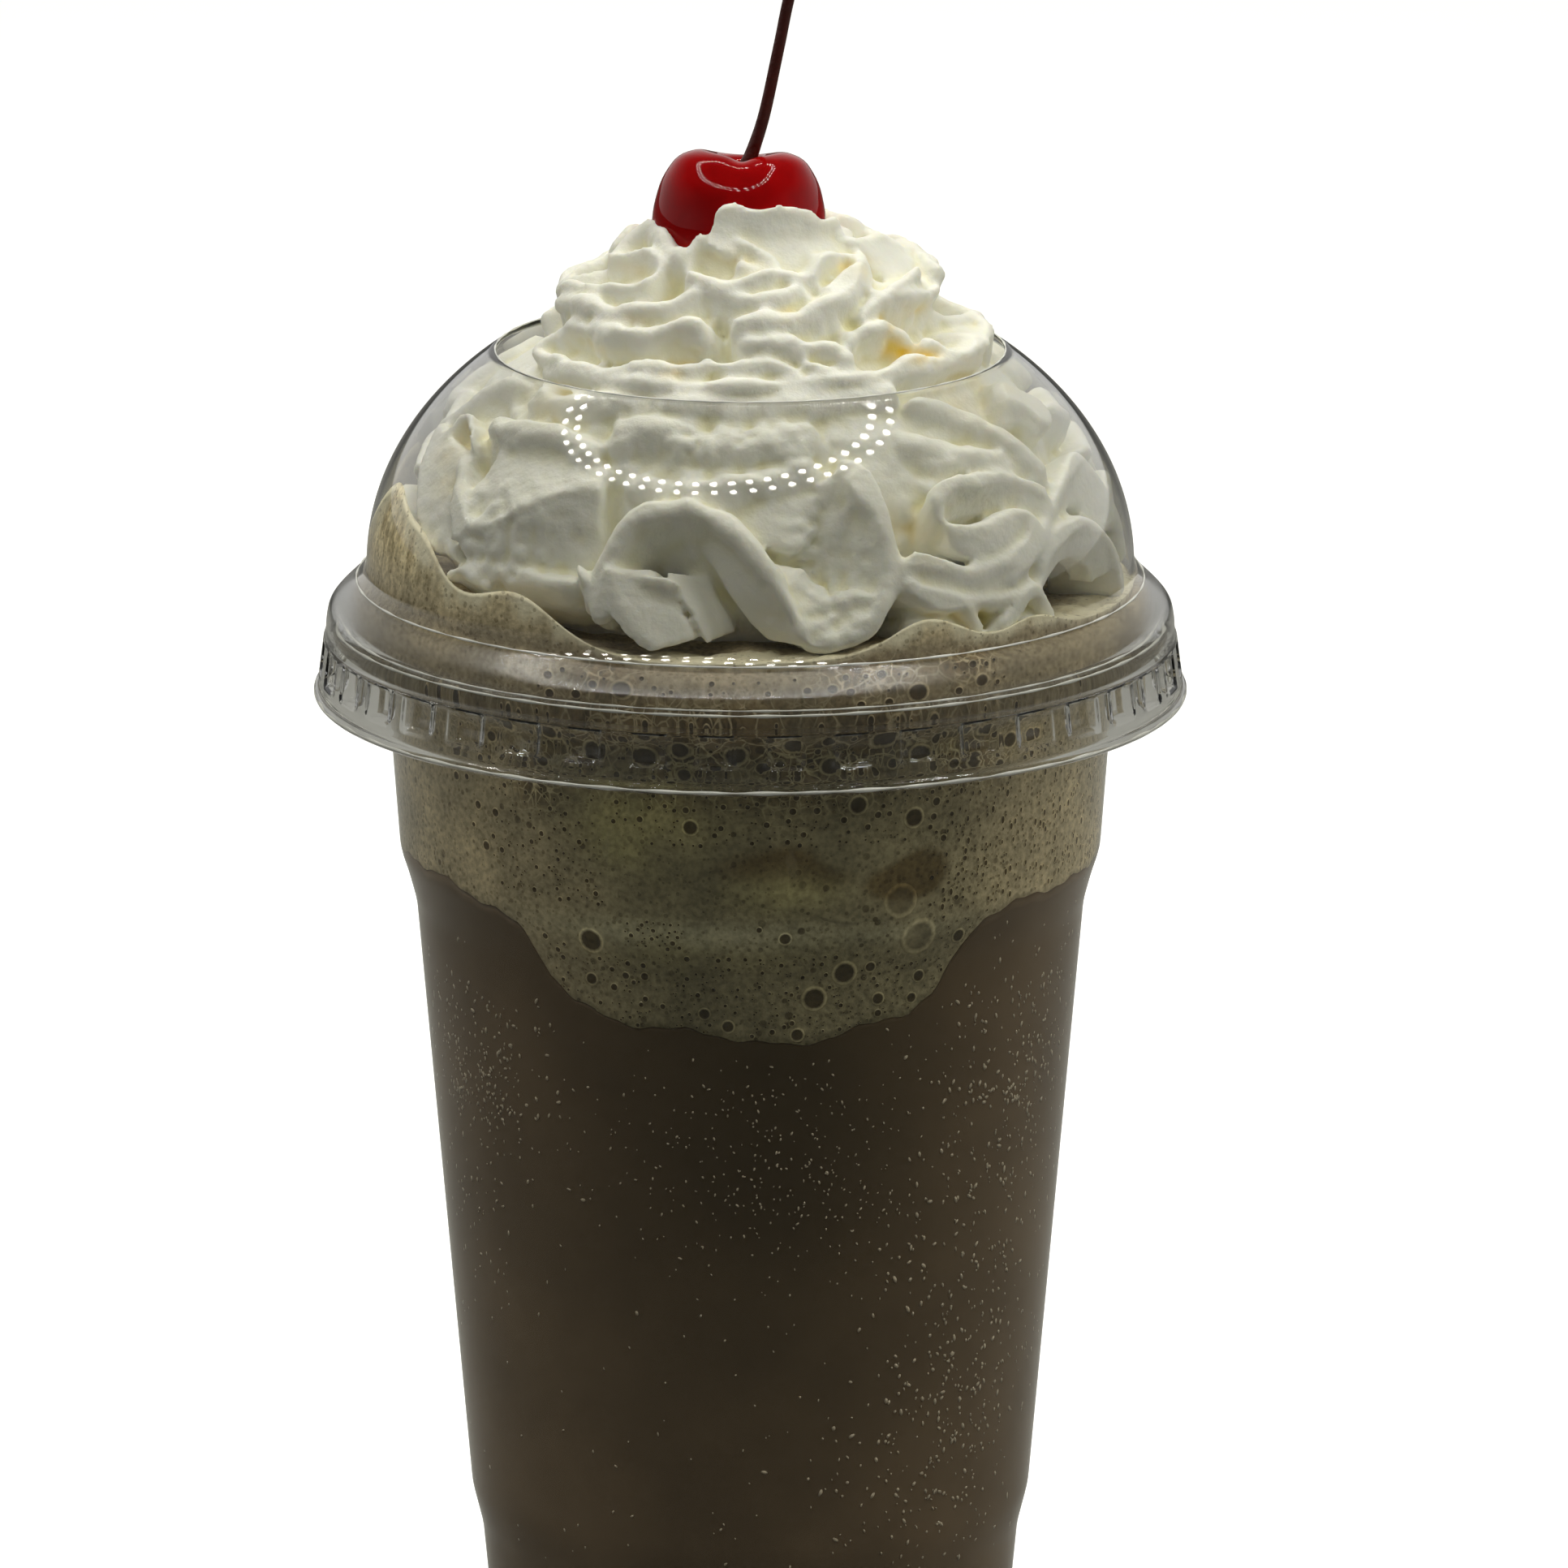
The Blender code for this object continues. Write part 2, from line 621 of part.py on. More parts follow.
def ribbon(name, thickness, depth, setback, points):
    """One ribbon of cream, on edge: its outer edge follows the way, and its inner edge is
    buried in the core. The ends are a little thinner than the middle."""
    step = RIBBON_STEP + RIBBON_STEP_SHARE * thickness * MM
    way = [cream_point(spot) for spot in smooth_way(points, step)]
    rings = []
    for order, point in enumerate(way):
        before = way[max(0, order - 1)]
        after = way[min(len(way) - 1, order + 1)]
        inward = Vector((-point.x, -point.y, 0.0)).normalized()
        across = (after - before).cross(inward).normalized()
        taper = RIBBON_END if order in (0, len(way) - 1) else 1.0
        half = 0.5 * thickness * MM * taper
        corners = []
        for reach, width in RIBBON_SECTION:
            run = (setback + reach * depth) * MM
            corners.append(held_in(point + inward * run + across * width * half))
        rings.append(corners)
    first = sum(rings[0], Vector()) / len(rings[0])
    last = sum(rings[-1], Vector()) / len(rings[-1])
    return rings_object(name, rings, None, first, last)


def held_in(point):
    """Move a point that would pass through the dome back to its inside."""
    limit = cream_space(point.z) if point.z < CROWN_OUTLINE[0][1] else HOLE_RADIUS - CREAM_GAP
    flat = math.hypot(point.x, point.y)
    scale = min(1.0, limit / flat) if flat > 0.0 else 1.0
    return Vector((point.x * scale, point.y * scale, point.z))


def core_solid():
    """The core of the cream, with broad lumps so that no two sides are the same."""
    rings = []
    step = 360.0 / CORE_SIDES
    for order, (radius, height) in enumerate(CORE_OUTLINE):
        ring = []
        for side in range(CORE_SIDES):
            angle = math.radians(side * step)
            lump = CORE_LUMP * math.sin(5.0 * angle + 1.7 * order) * math.cos(2.0 * angle - order)
            ring.append(held_in(polar(side * step, radius + lump, height)))
        rings.append(ring)
    low = Vector((0.0, 0.0, CORE_OUTLINE[0][1]))
    high = Vector((0.0, 0.0, CORE_OUTLINE[-1][1] + 0.5 * MM))
    return rings_object("core", rings, None, low, high)


def turned_back(points):
    """The same way seen in a mirror at the back of the cream, spread a little wider."""
    return [(180.0 - BACK_STRETCH * azimuth, height) for azimuth, height in reversed(points)]


def even_faces(body):
    """Round the creases between the ribbons and share the faces out evenly."""
    rounding = body.modifiers.new("rounding", "REMESH")
    rounding.mode = "VOXEL"
    rounding.voxel_size = CREAM_GRAIN
    apply_modifiers(body)
    keep_one_body(body)
    count = sum(len(face.vertices) - 2 for face in body.data.polygons)
    thinning = body.modifiers.new("thinning", "DECIMATE")
    thinning.ratio = CREAM_FACES / count
    apply_modifiers(body)
    for vertex in body.data.vertices:
        vertex.co = held_in(vertex.co)


def make_cream():
    """One body of cream: every ribbon joined to the core, with a seat for the cherry."""
    cream = core_solid()
    cream.name = "whipped_cream"
    parts = bpy.data.collections.new("ribbons")
    for order, (thickness, depth, setback, points) in enumerate(RIBBONS):
        front = ribbon("front ribbon %d" % order, thickness, depth, setback, points)
        back = ribbon("back ribbon %d" % order, thickness, depth, setback, turned_back(points))
        parts.objects.link(front)
        parts.objects.link(back)
    join = cream.modifiers.new("join", "BOOLEAN")
    join.operation = "UNION"
    join.operand_type = "COLLECTION"
    join.collection = parts
    apply_modifiers(cream)
    for piece in list(parts.objects):
        bpy.data.objects.remove(piece, do_unlink=True)
    bpy.data.collections.remove(parts)

    even_faces(cream)
    combine(cream, foam_room(), "DIFFERENCE")
    combine(cream, cherry_solid("cherry room", GAP, None), "DIFFERENCE")
    keep_one_body(cream)
    cream.data.materials.clear()
    cream.data.materials.append(material("whipped cream", (0.86, 0.85, 0.76), 0.55))
    return cream


# The cherry

def cherry_place():
    """Where the cherry sits and how it is tipped."""
    return Matrix.Translation(CHERRY_CENTRE) @ Matrix.Rotation(CHERRY_TILT, 4, "Y")


def cherry_solid(name, extra, finish):
    """The cherry, or the room that it needs when it is made a little larger."""
    share = 1.0 + extra / CHERRY_OUTLINE[5][0]
    place = cherry_place()
    outline = [(radius * share, height * share) for radius, height in CHERRY_OUTLINE]
    rings = [[place @ point for point in ring] for ring in turned(outline, CHERRY_SIDES)]
    high = place @ Vector((0.0, 0.0, CHERRY_DIMPLE * share))
    low = place @ Vector((0.0, 0.0, CHERRY_BOTTOM * share))
    return rings_object(name, rings, finish, high, low)


def make_stem():
    """The stem, from the dimple up in a slow curve to its knob."""
    dimple = cherry_place() @ Vector((0.0, 0.0, CHERRY_DIMPLE))
    rings = []
    for side, up, radius in STEM_POINTS:
        ring = turned([(radius, up)], STEM_SIDES)[0]
        rings.append([dimple + point + Vector((side, 0.0, 0.0)) for point in ring])
    low = sum(rings[0], Vector()) / STEM_SIDES
    high = sum(rings[-1], Vector()) / STEM_SIDES + Vector((0.0, 0.0, STEM_KNOB))
    finish = material("cherry stem", (0.07, 0.012, 0.008), 0.45)
    return rings_object("cherry_stem", rings, finish, low, high)


def build():
    """Make every piece of the float."""
    clear_scene()
    make_cup()
    make_lid()
    make_drink()
    make_scoop(make_foam())
    make_cream()
    cherry_solid("cherry", 0.0, material("cherry", (0.32, 0.005, 0.012), 0.12))
    make_stem()


build()
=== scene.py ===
"""Looks of an ice cream float in a clear cup with a domed lid.

+Z is up and the front faces -Y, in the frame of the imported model. Sizes are in millimetres
where no comment says metres, and MM turns them into metres. Azimuth is in degrees from the
front, and grows towards the right.
"""

import math

import bmesh
import bpy
import numpy as np
from mathutils import Matrix, Vector


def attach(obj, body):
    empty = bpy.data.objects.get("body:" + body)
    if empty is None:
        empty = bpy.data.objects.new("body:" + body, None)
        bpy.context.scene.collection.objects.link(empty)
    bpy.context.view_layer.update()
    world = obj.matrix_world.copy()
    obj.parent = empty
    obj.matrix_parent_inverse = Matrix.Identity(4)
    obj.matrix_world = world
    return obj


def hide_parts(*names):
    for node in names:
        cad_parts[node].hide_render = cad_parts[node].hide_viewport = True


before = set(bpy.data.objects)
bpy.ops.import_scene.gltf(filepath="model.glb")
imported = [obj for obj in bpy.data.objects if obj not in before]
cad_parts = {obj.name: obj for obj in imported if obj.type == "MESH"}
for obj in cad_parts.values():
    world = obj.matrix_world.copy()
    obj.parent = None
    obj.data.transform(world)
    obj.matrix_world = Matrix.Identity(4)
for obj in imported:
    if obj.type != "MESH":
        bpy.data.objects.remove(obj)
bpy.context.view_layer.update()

MM = 0.001

# Cells of the random lattice that soft noise repeats after
NOISE_CELLS = 32

# Plastic sheet, and how far the contents reach into it so that no air gap shows
SHEET = 0.5
REACH = 0.14
FOAM_REACH = 0.2
BUBBLE_REACH = 0.27

# Cup, outside, from the standing ring up to the flare, as (radius, height)
FOOT_RISE = 3.2
FOOT_PANEL = 22.3
STANDING_RING = 24.6
CUP_OUTLINE = (
    (27.4, 0.0), (29.5, 0.5), (29.9, 3.0), (32.5, 31.2), (33.75, 36.2), (39.95, 109.4),
    (40.95, 113.2), (41.85, 115.9), (43.4, 137.6),
)
RIM_CENTRE = (48.15, 142.55)
RIM_TUBE = 1.45
RIM_ARC = (-145.0, 165.0, 16)
FLOOR_EDGE = 27.3
OUTER_ROUNDING = 1.1
INNER_ROUNDING = 1.0
CUP_SIDES = 160

# Lid: the dome is half an ellipse over DOME_FOOT, and the flare and skirt follow as (radius, height).
# An arc is start, end and number of points
HOLE_RADIUS = 30.2
DOME_RADIUS = 45.6
DOME_HEIGHT = 34.5
DOME_FOOT = 150.3
DOME_STEPS = 36
LIP_ANGLES = (-55.0, -20.0, 20.0, 55.0)
FLARE_OUTLINE = ((45.6, 151.0), (45.75, 149.9), (46.9, 148.5), (49.3, 146.2), (50.15, 145.2),
                 (50.45, 143.6), (50.5, 142.2), (50.75, 141.5))
SKIRT_OUTLINE = ((51.4, 136.9), (51.45, 136.3), (51.35, 135.9))
SKIRT_EDGE = (52.0, 134.5)
ROLL = 0.55
ROLL_ARC = (80.0, -200.0, 13)

# Lugs: the row's slope, each lug's half width and soft side as shares of its pitch, and how far
# it is drawn in, as (height, share of the depth)
LUG_COUNT = 40
LUG_STEPS = 16
LID_SIDES = LUG_COUNT * LUG_STEPS
LUG_RADIUS = 50.85
LUG_SLOPE = 0.13
LUG_DEPTH = 1.35
LUG_HALF_WIDTH = 0.28
LUG_SOFT_SIDE = 0.04
LUG_TOP = 141.0
LUG_BOTTOM = 137.4
LUG_PROFILE = ((LUG_TOP + 0.35, 0.0), (LUG_TOP, 0.75), (LUG_TOP - 0.5, 1.0), (LUG_BOTTOM + 0.9, 1.0),
               (LUG_BOTTOM + 0.3, 0.85), (LUG_BOTTOM, 0.0))

# Plastic: what it lets through, and its roughness where it is clear and where it is soft. Soft
# bands are height, half height and amount
PLASTIC_SHADE = (0.88, 0.88, 0.87)
CLEAR_ROUGHNESS = 0.015
SOFT_ROUGHNESS = 0.2
SOFT_LIP = 0.45
SOFT_BANDS = ((SKIRT_EDGE[1] + ROLL, 0.7, 0.12), (146.9, 1.5, 1.0))

# Painted highlights, fine whitish rings along edges of the plastic where lamps would glint: name, node,
# radius, height, thickness
PAINTED_HIGHLIGHT_LINES = (
    ("skirt_edge_highlight", "dome_lid", 51.72, 134.95, 0.17),
    ("dome_foot_highlight", "dome_lid", 46.8, 148.6, 0.13),
    ("rim_front_highlight", "cup", 49.3, 143.45, 0.16),
    ("rim_top_highlight", "cup", 48.65, 143.9, 0.12),
    ("hole_edge_highlight", "dome_lid", HOLE_RADIUS, 176.1, 0.1),
)
HIGHLIGHT_LINE_SIDES = 480

# Foam: its lower edge as (azimuth, height), its lip as (radius, height), and the swells of its top
# as (azimuth, rise, half width). The swing of the lather's cells is in metres
FOAM_EDGE = (
    (-180, 115.4), (-110, 116.4), (-74, 117), (-61, 117.2), (-53, 116.3), (-46, 115.3), (-41, 113.7),
    (-39, 111.3), (-36, 108.2), (-32, 105.8), (-27, 104.2), (-22, 103.3), (-10, 103.1), (-5, 102.5),
    (1, 101.8), (7, 101.3), (12, 101.8), (18, 102.9), (28, 104.3), (33, 106.3), (36, 109.6),
    (39, 112.9), (42, 114.9), (48, 115.9), (68, 116), (110, 116.4), (180, 115.4),
)
FOAM_INNER_LEVEL = 99.0
FOAM_LIP = ((43.1, 137.6), (44.6, 139.6), (46.5, 141.6), (46.9, 142.6), (46.9, 144.2), (46.9, 145.6),
            (46.6, 147.2))
FOAM_TOP = 148.6
FOAM_SWELLS = ((-76, 12.5, 12), (-60, 7.5, 11), (-38, 6.6, 12), (27, 4, 8),
               (47, 2.2, 7), (160, 3.5, 20), (232, 5.5, 16))
SWELL_INNER_RADIUS = 36.0
FOAM_TOP_RADII = (44.0, 42.5, 41.0, 39.5, 38.0, 36.0, 33.0, 28.0, 20.0)
FOAM_SIDES = 320
INTERFACE_SHARES = (0.45, 0.7, 0.88, 1.0)
LATHER_SWING = 0.0013

# Where foam counts as in the cup, as high in the dome and as pressed on the wall: the level or
# radius where that begins, and over how many millimetres. Then where painted shade darkens the
# foam at the front of the cup
IN_CUP = (141.0, 4.0)
HIGH = (149.0, 7.0)
ON_WALL = (38.0, 3.0)
THIN_FOOT = 147.6
FOAM_SHADE_AZIMUTH = 3.0
FOAM_SHADE_WIDTH = 41.0

# Drink: its corner over the cup's floor, the heights of its wall, and where painted shade darkens it at the
# front
DRINK_CORNER = (28.9, 2.6)
DRINK_LEVELS = (8.0, 20.0, 30.8, 32.5, 34.5, 36.2, 38.0, 60.0, 80.0, 96.0)
SODA_SHADE_AZIMUTH = 4.0
SODA_SHADE_WIDTH = 47.0

# Spots of the foam: azimuth, height, half width in degrees and height, strength
COARSE = (
    (-2, 138.4, 40, 4.6, 1), (-21, 146.2, 4, 1.7, 0.7), (18, 146.8, 9, 1.7, 0.6),
    (33, 147.2, 6, 1.7, 0.6), (5, 134, 30, 3, 0.7), (36, 134, 8, 3, 0.7), (-36, 133, 8, 4, 0.45),
)
VANILLA = ((-18, 128, 10, 4.6, 0.85), (4, 120.4, 8, 2.2, 0.8), (-6, 113.2, 20, 2.6, 0.2))
SYRUP = ((5, 123.4, 12.5, 3.4, 1), (27.5, 121.4, 8.5, 3, 1), (-4, 133, 12, 2, 0.35))
# Painted highlight of the cup's step, as a lighter band on the foam
STEP_HIGHLIGHT = ((-8, 115, 24, 1.5, 1), (22, 114.6, 16, 1.1, 0.5))

# Bubbles of the foam, as rings of (share of the radius, rise, share of the light rim). They sit at
# about BUBBLE_RADIUS, and those larger than PALE_BUBBLE are paler inside
BUBBLE_SIDES = 14
BUBBLE_PROFILE = ((0.0, 0.0, 0.0), (0.72, 0.0, 0.0), (0.95, 0.05, 1.0), (1.15, -0.12, 0.3))
BUBBLE_RADIUS = 41.0
PALE_BUBBLE = 2.0

# Larger bubbles: azimuth, height, radius
LARGE_BUBBLES = (
    (-27, 113.4, 1.6), (26.5, 128.6, 1.3), (17, 130.8, 1.2), (24.7, 118.6, 2.1), (28.6, 113.8, 2.2),
    (26.6, 110.2, 1.4), (-27.4, 110.6, 1), (-27.8, 108.4, 0.8), (-23.6, 107.7, 0.5),
    (-21.4, 109.3, 0.5), (-18, 109.4, 0.55), (-18, 106.6, 0.4), (-18.1, 110.8, 0.4),
    (-20.8, 110.9, 0.4), (-7.8, 105.2, 0.75), (-3.8, 103.7, 0.8), (8, 102.6, 0.85), (10.8, 107, 1.5),
    (15.9, 110, 1.5), (14.9, 107.4, 0.8), (20.4, 110.5, 0.7), (17.1, 112.1, 0.7), (22.1, 106.4, 0.8),
    (29.6, 108.6, 0.8), (28.4, 106, 0.7), (22.2, 104.6, 0.5), (36.6, 113, 0.9), (-9.4, 128.4, 1),
    (-4.6, 128.4, 0.4), (-8.7, 130.2, 0.5), (6.6, 130.4, 0.5), (10.4, 130.4, 0.5), (30.4, 130.2, 0.6),
    (20.3, 129.4, 0.5), (30, 128.4, 0.5), (-53.6, 130.4, 0.6), (-50.8, 130.7, 0.45),
    (-48.4, 127.6, 0.6), (-44.4, 127.2, 0.6), (-49.8, 125, 0.35), (-45.2, 124.2, 0.4),
    (-47, 122.8, 0.65), (-53, 133.4, 0.9), (5.6, 114.8, 0.8), (-36, 113, 0.45), (-33, 110.6, 0.4),
    (32, 125.6, 0.5), (35, 118, 0.4), (1.4, 116, 0.4),
)

# Small bubbles: count, azimuths, heights, radii, stretch upwards
BUBBLE_ZONES = (
    (620, -36, 36, 102, 112.5, 0.11, 0.42, 1), (150, -46, -24, 118, 132, 0.14, 0.45, 1),
    (60, -21, -11, 113, 117, 0.16, 0.4, 1), (300, -22, 34, 126, 134, 0.14, 0.5, 1),
    (620, 32, 82, 116.5, 134.5, 0.12, 0.34, 1.7), (60, 30, 44, 113, 124, 0.14, 0.4, 1),
    (260, 84, 180, 117, 134, 0.14, 0.5, 1.2), (260, -180, -80, 117, 134, 0.14, 0.5, 1.2),
)

# Bubbles that crowd behind the skirt, large ones first
LATHER_ZONES = (
    (30, -45, 45, 135.5, 141, 1.3, 2, 0.9), (90, -48, 50, 134, 141.5, 0.8, 1.3, 0.9),
    (260, -50, 52, 132.5, 142, 0.45, 0.8, 1), (420, -52, 54, 132, 142, 0.22, 0.45, 1),
    (14, -30, -18, 144, 147, 0.7, 1.5, 0.8), (40, 8, 36, 143.8, 147.2, 0.6, 1.5, 0.8),
    (50, -34, 40, 143.6, 147.2, 0.25, 0.6, 0.9),
)

# Gas bubbles in the soda: count, azimuth, height, spreads, sizes
SODA_ZONES = (
    (330, -56, 93, 11, 6, 0.07, 0.22), (380, 58, 94, 13, 8, 0.07, 0.24),
    (300, 46, 66, 13, 11, 0.08, 0.24), (220, 42, 47, 13, 8, 0.08, 0.24),
    (420, 4, 86, 17, 8, 0.05, 0.13), (100, 0, 40, 40, 14, 0.06, 0.14), (60, -60, 74, 9, 6, 0.07, 0.18),
    (500, 180, 80, 55, 20, 0.07, 0.22),
)

# Scoop of ice cream at the cup's wall
SCOOP_CENTRE = (0.0, -15.0, 123.8)
SCOOP_RADII = (31.5, 28.6, 15.5)
SCOOP_ROLL = 9.0
SCOOP_GRID = (90, 260)

# Cream: its gap to the dome, the size of its faces, and the outlines of its core and crown
CREAM_GAP = 0.25
CREAM_GRAIN = 0.45
CORE_SIDES = 48
CORE_WAVE = 0.7
WEB_ROWS = 7
# Rounds and share of two blurs: one softens the cream, one finds its creases
SOFTEN = (2, 0.5)
CREASE_BLUR = (24, 0.5)
CREASE_DEPTH = 0.7
# The back repeats the front: drawn together, and sunk above a height
BACK_DRAW = 0.92
BACK_SINK = 0.2
BACK_SINK_FROM = 181.0
BACK_SEED = 100
SIDE_SEED = 200
CORE_OUTLINE = (
    (20.0, 146.0), (33.0, 147.0), (36.0, 152.0), (36.5, 160.0), (35.0, 166.5), (31.0, 171.5),
    (25.4, 175.8), (19.6, 180.0), (15.0, 184.0), (12.8, 187.2), (11.8, 189.6), (9.0, 191.0),
)
CROWN_OUTLINE = (
    (29.1, 176.0), (27.8, 178.0), (25.8, 180.0), (22.3, 184.0), (20.4, 186.0), (15.2, 190.0),
    (12.6, 192.0), (11.2, 194.6), (10.8, 197.0),
)
CROWN_FOOT = CROWN_OUTLINE[0][1]
CREAM_IN_HOLE = HOLE_RADIUS - 0.6

# Steps in the sides of the crown: azimuth, height, half width in degrees and height, amount
CROWN_SWELLS = (
    (85, 191.4, 32, 0.9, -1.8), (85, 187.4, 32, 1.8, 2.4), (85, 185.4, 32, 1.2, 1.2),
    (85, 182, 32, 1, -2.4), (85, 178.8, 32, 1.2, 1.8), (-85, 186.6, 32, 1.2, -3),
    (-85, 183.9, 32, 0.8, 0.4), (-85, 180, 32, 1.4, -2.6), (-85, 176.8, 32, 1.2, -1.4),
)

# Cherry: its outline as (radius, height), and the room that the cream leaves it
CHERRY_CENTRE = (-1.3, -0.8, 192.4)
CHERRY_TILT = (2.0, -9.0)
CHERRY_ROOM = 10.0
CHERRY_SIDES = 96
CHERRY_DIMPLE = 4.2
CHERRY_FOOT = -9.9
CHERRY_OUTLINE = ((0.6, 4.4), (1.4, 5.2), (2.6, 6.7), (4.8, 7.3), (7.4, 6.5), (9.3, 3.8), (10.3, 0.0),
                  (10.2, -3.2), (8.6, -6.6), (5.0, -9.0), (1.5, -9.8))

# Stem: its way from the dimple, as (aside, up, radius)
STEM_SIDES = 20
STEM_WAY = ((0.3, 0.2, 1.2), (0.85, 1.8, 1.0), (1.55, 3.6, 0.84), (2.87, 8.0, 0.73), (4.57, 15.8, 0.7),
            (5.45, 20.5, 0.7), (7.0, 27.5, 0.78), (8.6, 33.0, 0.95), (9.1, 34.7, 1.45), (9.3, 35.2, 1.1))

# The photograph's frame and the camera that fits it
PHOTO_SIDE = 1932
LENS_PIXELS = 13303.0
CAMERA_PLACE = (0.0, -1.25, 0.4425)
CAMERA_DIP = 14.344
AXIS_PIXEL = 924.5
SENSOR = 36.0

# Ring lamp overhead, in metres: two rows of small dots, and soft lamps along it
LAMP_CENTRE = (-0.13, 0.09, 1.15)
LAMP_RADII = (0.57, 0.65)
LAMP_DOTS = 42
LAMP_DOT = 0.019
DOT_CORNERS = 8
LAMP_STRENGTH = 70.0
LAMP_COLOUR = (1.0, 0.985, 0.87)
SOFT_LAMPS = 8
SOFT_LAMP_SIZE = 0.3
SOFT_LAMP_POWER = 1.7
SOFT_LAMP_SWAY = 0.35
LAMP_AIM = (0.0, 0.0, 0.15)

# Lamp at the side: place, aim, size in metres, power. Then the floor's half width in metres
SIDE_LAMP = ((0.95, -0.2, 0.7), (0.0, 0.0, 0.16), 0.5, 3.0)
FLOOR_HALF = 9.0


# Shapes


def polar(azimuth, radius, height):
    """Points in metres from azimuth in degrees, radius and height in millimetres."""
    angle = np.radians(azimuth)
    return np.stack(np.broadcast_arrays(
        radius * np.sin(angle), -radius * np.cos(angle), height), axis=-1) * MM


def around(sides):
    """Azimuths of a ring of points."""
    return np.arange(sides) * 360.0 / sides


def turn_from(azimuth, centre=0.0):
    """Azimuth counted from a centre, from -180 to 180 degrees."""
    return (azimuth - centre + 180.0) % 360.0 - 180.0


def azimuth_of(points):
    """Azimuths of points."""
    return np.degrees(np.arctan2(points[:, 0], -points[:, 1]))


def sine(turn):
    """Sine of an angle in degrees."""
    return np.sin(np.radians(turn))


def limited(values):
    """Values held between 0 and 1."""
    return np.clip(values, 0.0, 1.0)


def linear(values, pairs):
    """Radius of an outline of (radius, height) pairs at each height."""
    radii, heights = zip(*pairs)
    return np.interp(values, heights, radii)


def rounded(outline, size, steps=4):
    """An outline whose corners are turned into short curves of about the given size."""
    points = [np.array(point, float) for point in outline]
    made = [points[0]]
    for before, corner, after in zip(points, points[1:], points[2:]):
        one = before - corner
        other = after - corner
        reach = min(size, 0.45 * np.linalg.norm(one), 0.45 * np.linalg.norm(other))
        start = corner + one / np.linalg.norm(one) * reach
        end = corner + other / np.linalg.norm(other) * reach
        for step in range(steps + 1):
            t = step / steps
            made.append((1 - t) ** 2 * start + 2 * t * (1 - t) * corner + t * t * end)
    made.append(points[-1])
    return made


def offset(outline, inset):
    """The same outline moved to its left by a distance, for the other face of a sheet."""
    points = np.array(outline, float)
    along = np.gradient(points, axis=0)
    along /= np.linalg.norm(along, axis=1)[:, None]
    return points + inset * np.stack([along[:, 1], -along[:, 0]], axis=1)


def arc(centre, radius, start, end, steps):
    """Points on an arc of an outline, angles in degrees."""
    angles = np.radians(np.linspace(start, end, steps))
    return [(centre[0] + radius * math.cos(a), centre[1] + radius * math.sin(a)) for a in angles]


def add_piece(name, points, faces, finish):
    """A smooth mesh object from points in metres."""
    data = bpy.data.meshes.new(name)
    data.from_pydata([tuple(point) for point in points], [], faces)
    data.materials.append(finish)
    data.shade_smooth()
    made = bpy.data.objects.new(name, data)
    bpy.context.scene.collection.objects.link(made)
    return made


def ring_faces(rows, sides, start=0, closed=False):
    """Quads between neighbouring rings of points."""
    faces = []
    for row in range(rows if closed else rows - 1):
        after = (row + 1) % rows
        for side in range(sides):
            next_side = (side + 1) % sides
            faces.append((start + row * sides + side, start + row * sides + next_side,
                          start + after * sides + next_side, start + after * sides + side))
    return faces


def cap_faces(tip, first, sides, flip):
    """Triangles from a centre point to a ring."""
    faces = []
    for side in range(sides):
        a = first + side
        b = first + (side + 1) % sides
        faces.append((tip, b, a) if flip else (tip, a, b))
    return faces


def turned_piece(name, grid, finish, ends=None):
    """A closed piece from a grid of rings. ends are the centre points that close it, and
    without them the last ring joins the first."""
    rows, sides = grid.shape[:2]
    points = grid.reshape(-1, 3)
    faces = ring_faces(rows, sides, closed=ends is None)
    if ends is not None:
        points = np.vstack([points, np.array(ends) * MM])
        faces += cap_faces(rows * sides, 0, sides, True)
        faces += cap_faces(rows * sides + 1, (rows - 1) * sides, sides, False)
    made = add_piece(name, points, faces, finish)
    outward(made)
    return made


def outward(piece):
    """Point every face outwards."""
    mesh = bmesh.new()
    mesh.from_mesh(piece.data)
    bmesh.ops.recalc_face_normals(mesh, faces=mesh.faces)
    if mesh.calc_volume(signed=True) < 0.0:
        bmesh.ops.reverse_faces(mesh, faces=mesh.faces)
    mesh.to_mesh(piece.data)
    mesh.free()


def turned(outline, sides):
    """Rings of a turned shape."""
    return np.stack([polar(around(sides), radius, height) for radius, height in outline])


def smooth_noise(points, size, seed):
    """Soft noise from -1 to 1, with lumps of about the given size in millimetres."""
    lattice = np.random.default_rng(seed).uniform(-1.0, 1.0, (NOISE_CELLS,) * 3)
    place = np.asarray(points) / (size * MM)
    cell = np.floor(place).astype(int)
    part = place - cell
    part = part * part * (3.0 - 2.0 * part)
    total = 0.0
    for corner in range(8):
        step = np.array([corner & 1, corner >> 1 & 1, corner >> 2 & 1])
        x, y, z = ((cell + step) % NOISE_CELLS).T
        total = total + np.prod(np.where(step, part, 1.0 - part), axis=1) * lattice[x, y, z]
    return total


def piece_points(piece):
    """The points of a piece in millimetres."""
    return np.array([vertex.co for vertex in piece.data.vertices]) / MM


def mesh_vectors(data, name):
    """One vector of each point of a mesh."""
    values = np.empty(3 * len(data.vertices))
    data.vertices.foreach_get(name, values)
    return values.reshape(-1, 3)


def vertex_values(piece, name, values):
    """Store a number from 0 to 1 for each point of a piece, for its material."""
    layer = piece.data.attributes.new(name, "FLOAT", "POINT")
    layer.data.foreach_set("value", np.asarray(limited(values), np.float32))


# Materials


def new_material(name):
    """A material with its Principled shader and its nodes."""
    made = bpy.data.materials.new(name)
    made.use_nodes = True
    return made, made.node_tree, made.node_tree.nodes["Principled BSDF"]


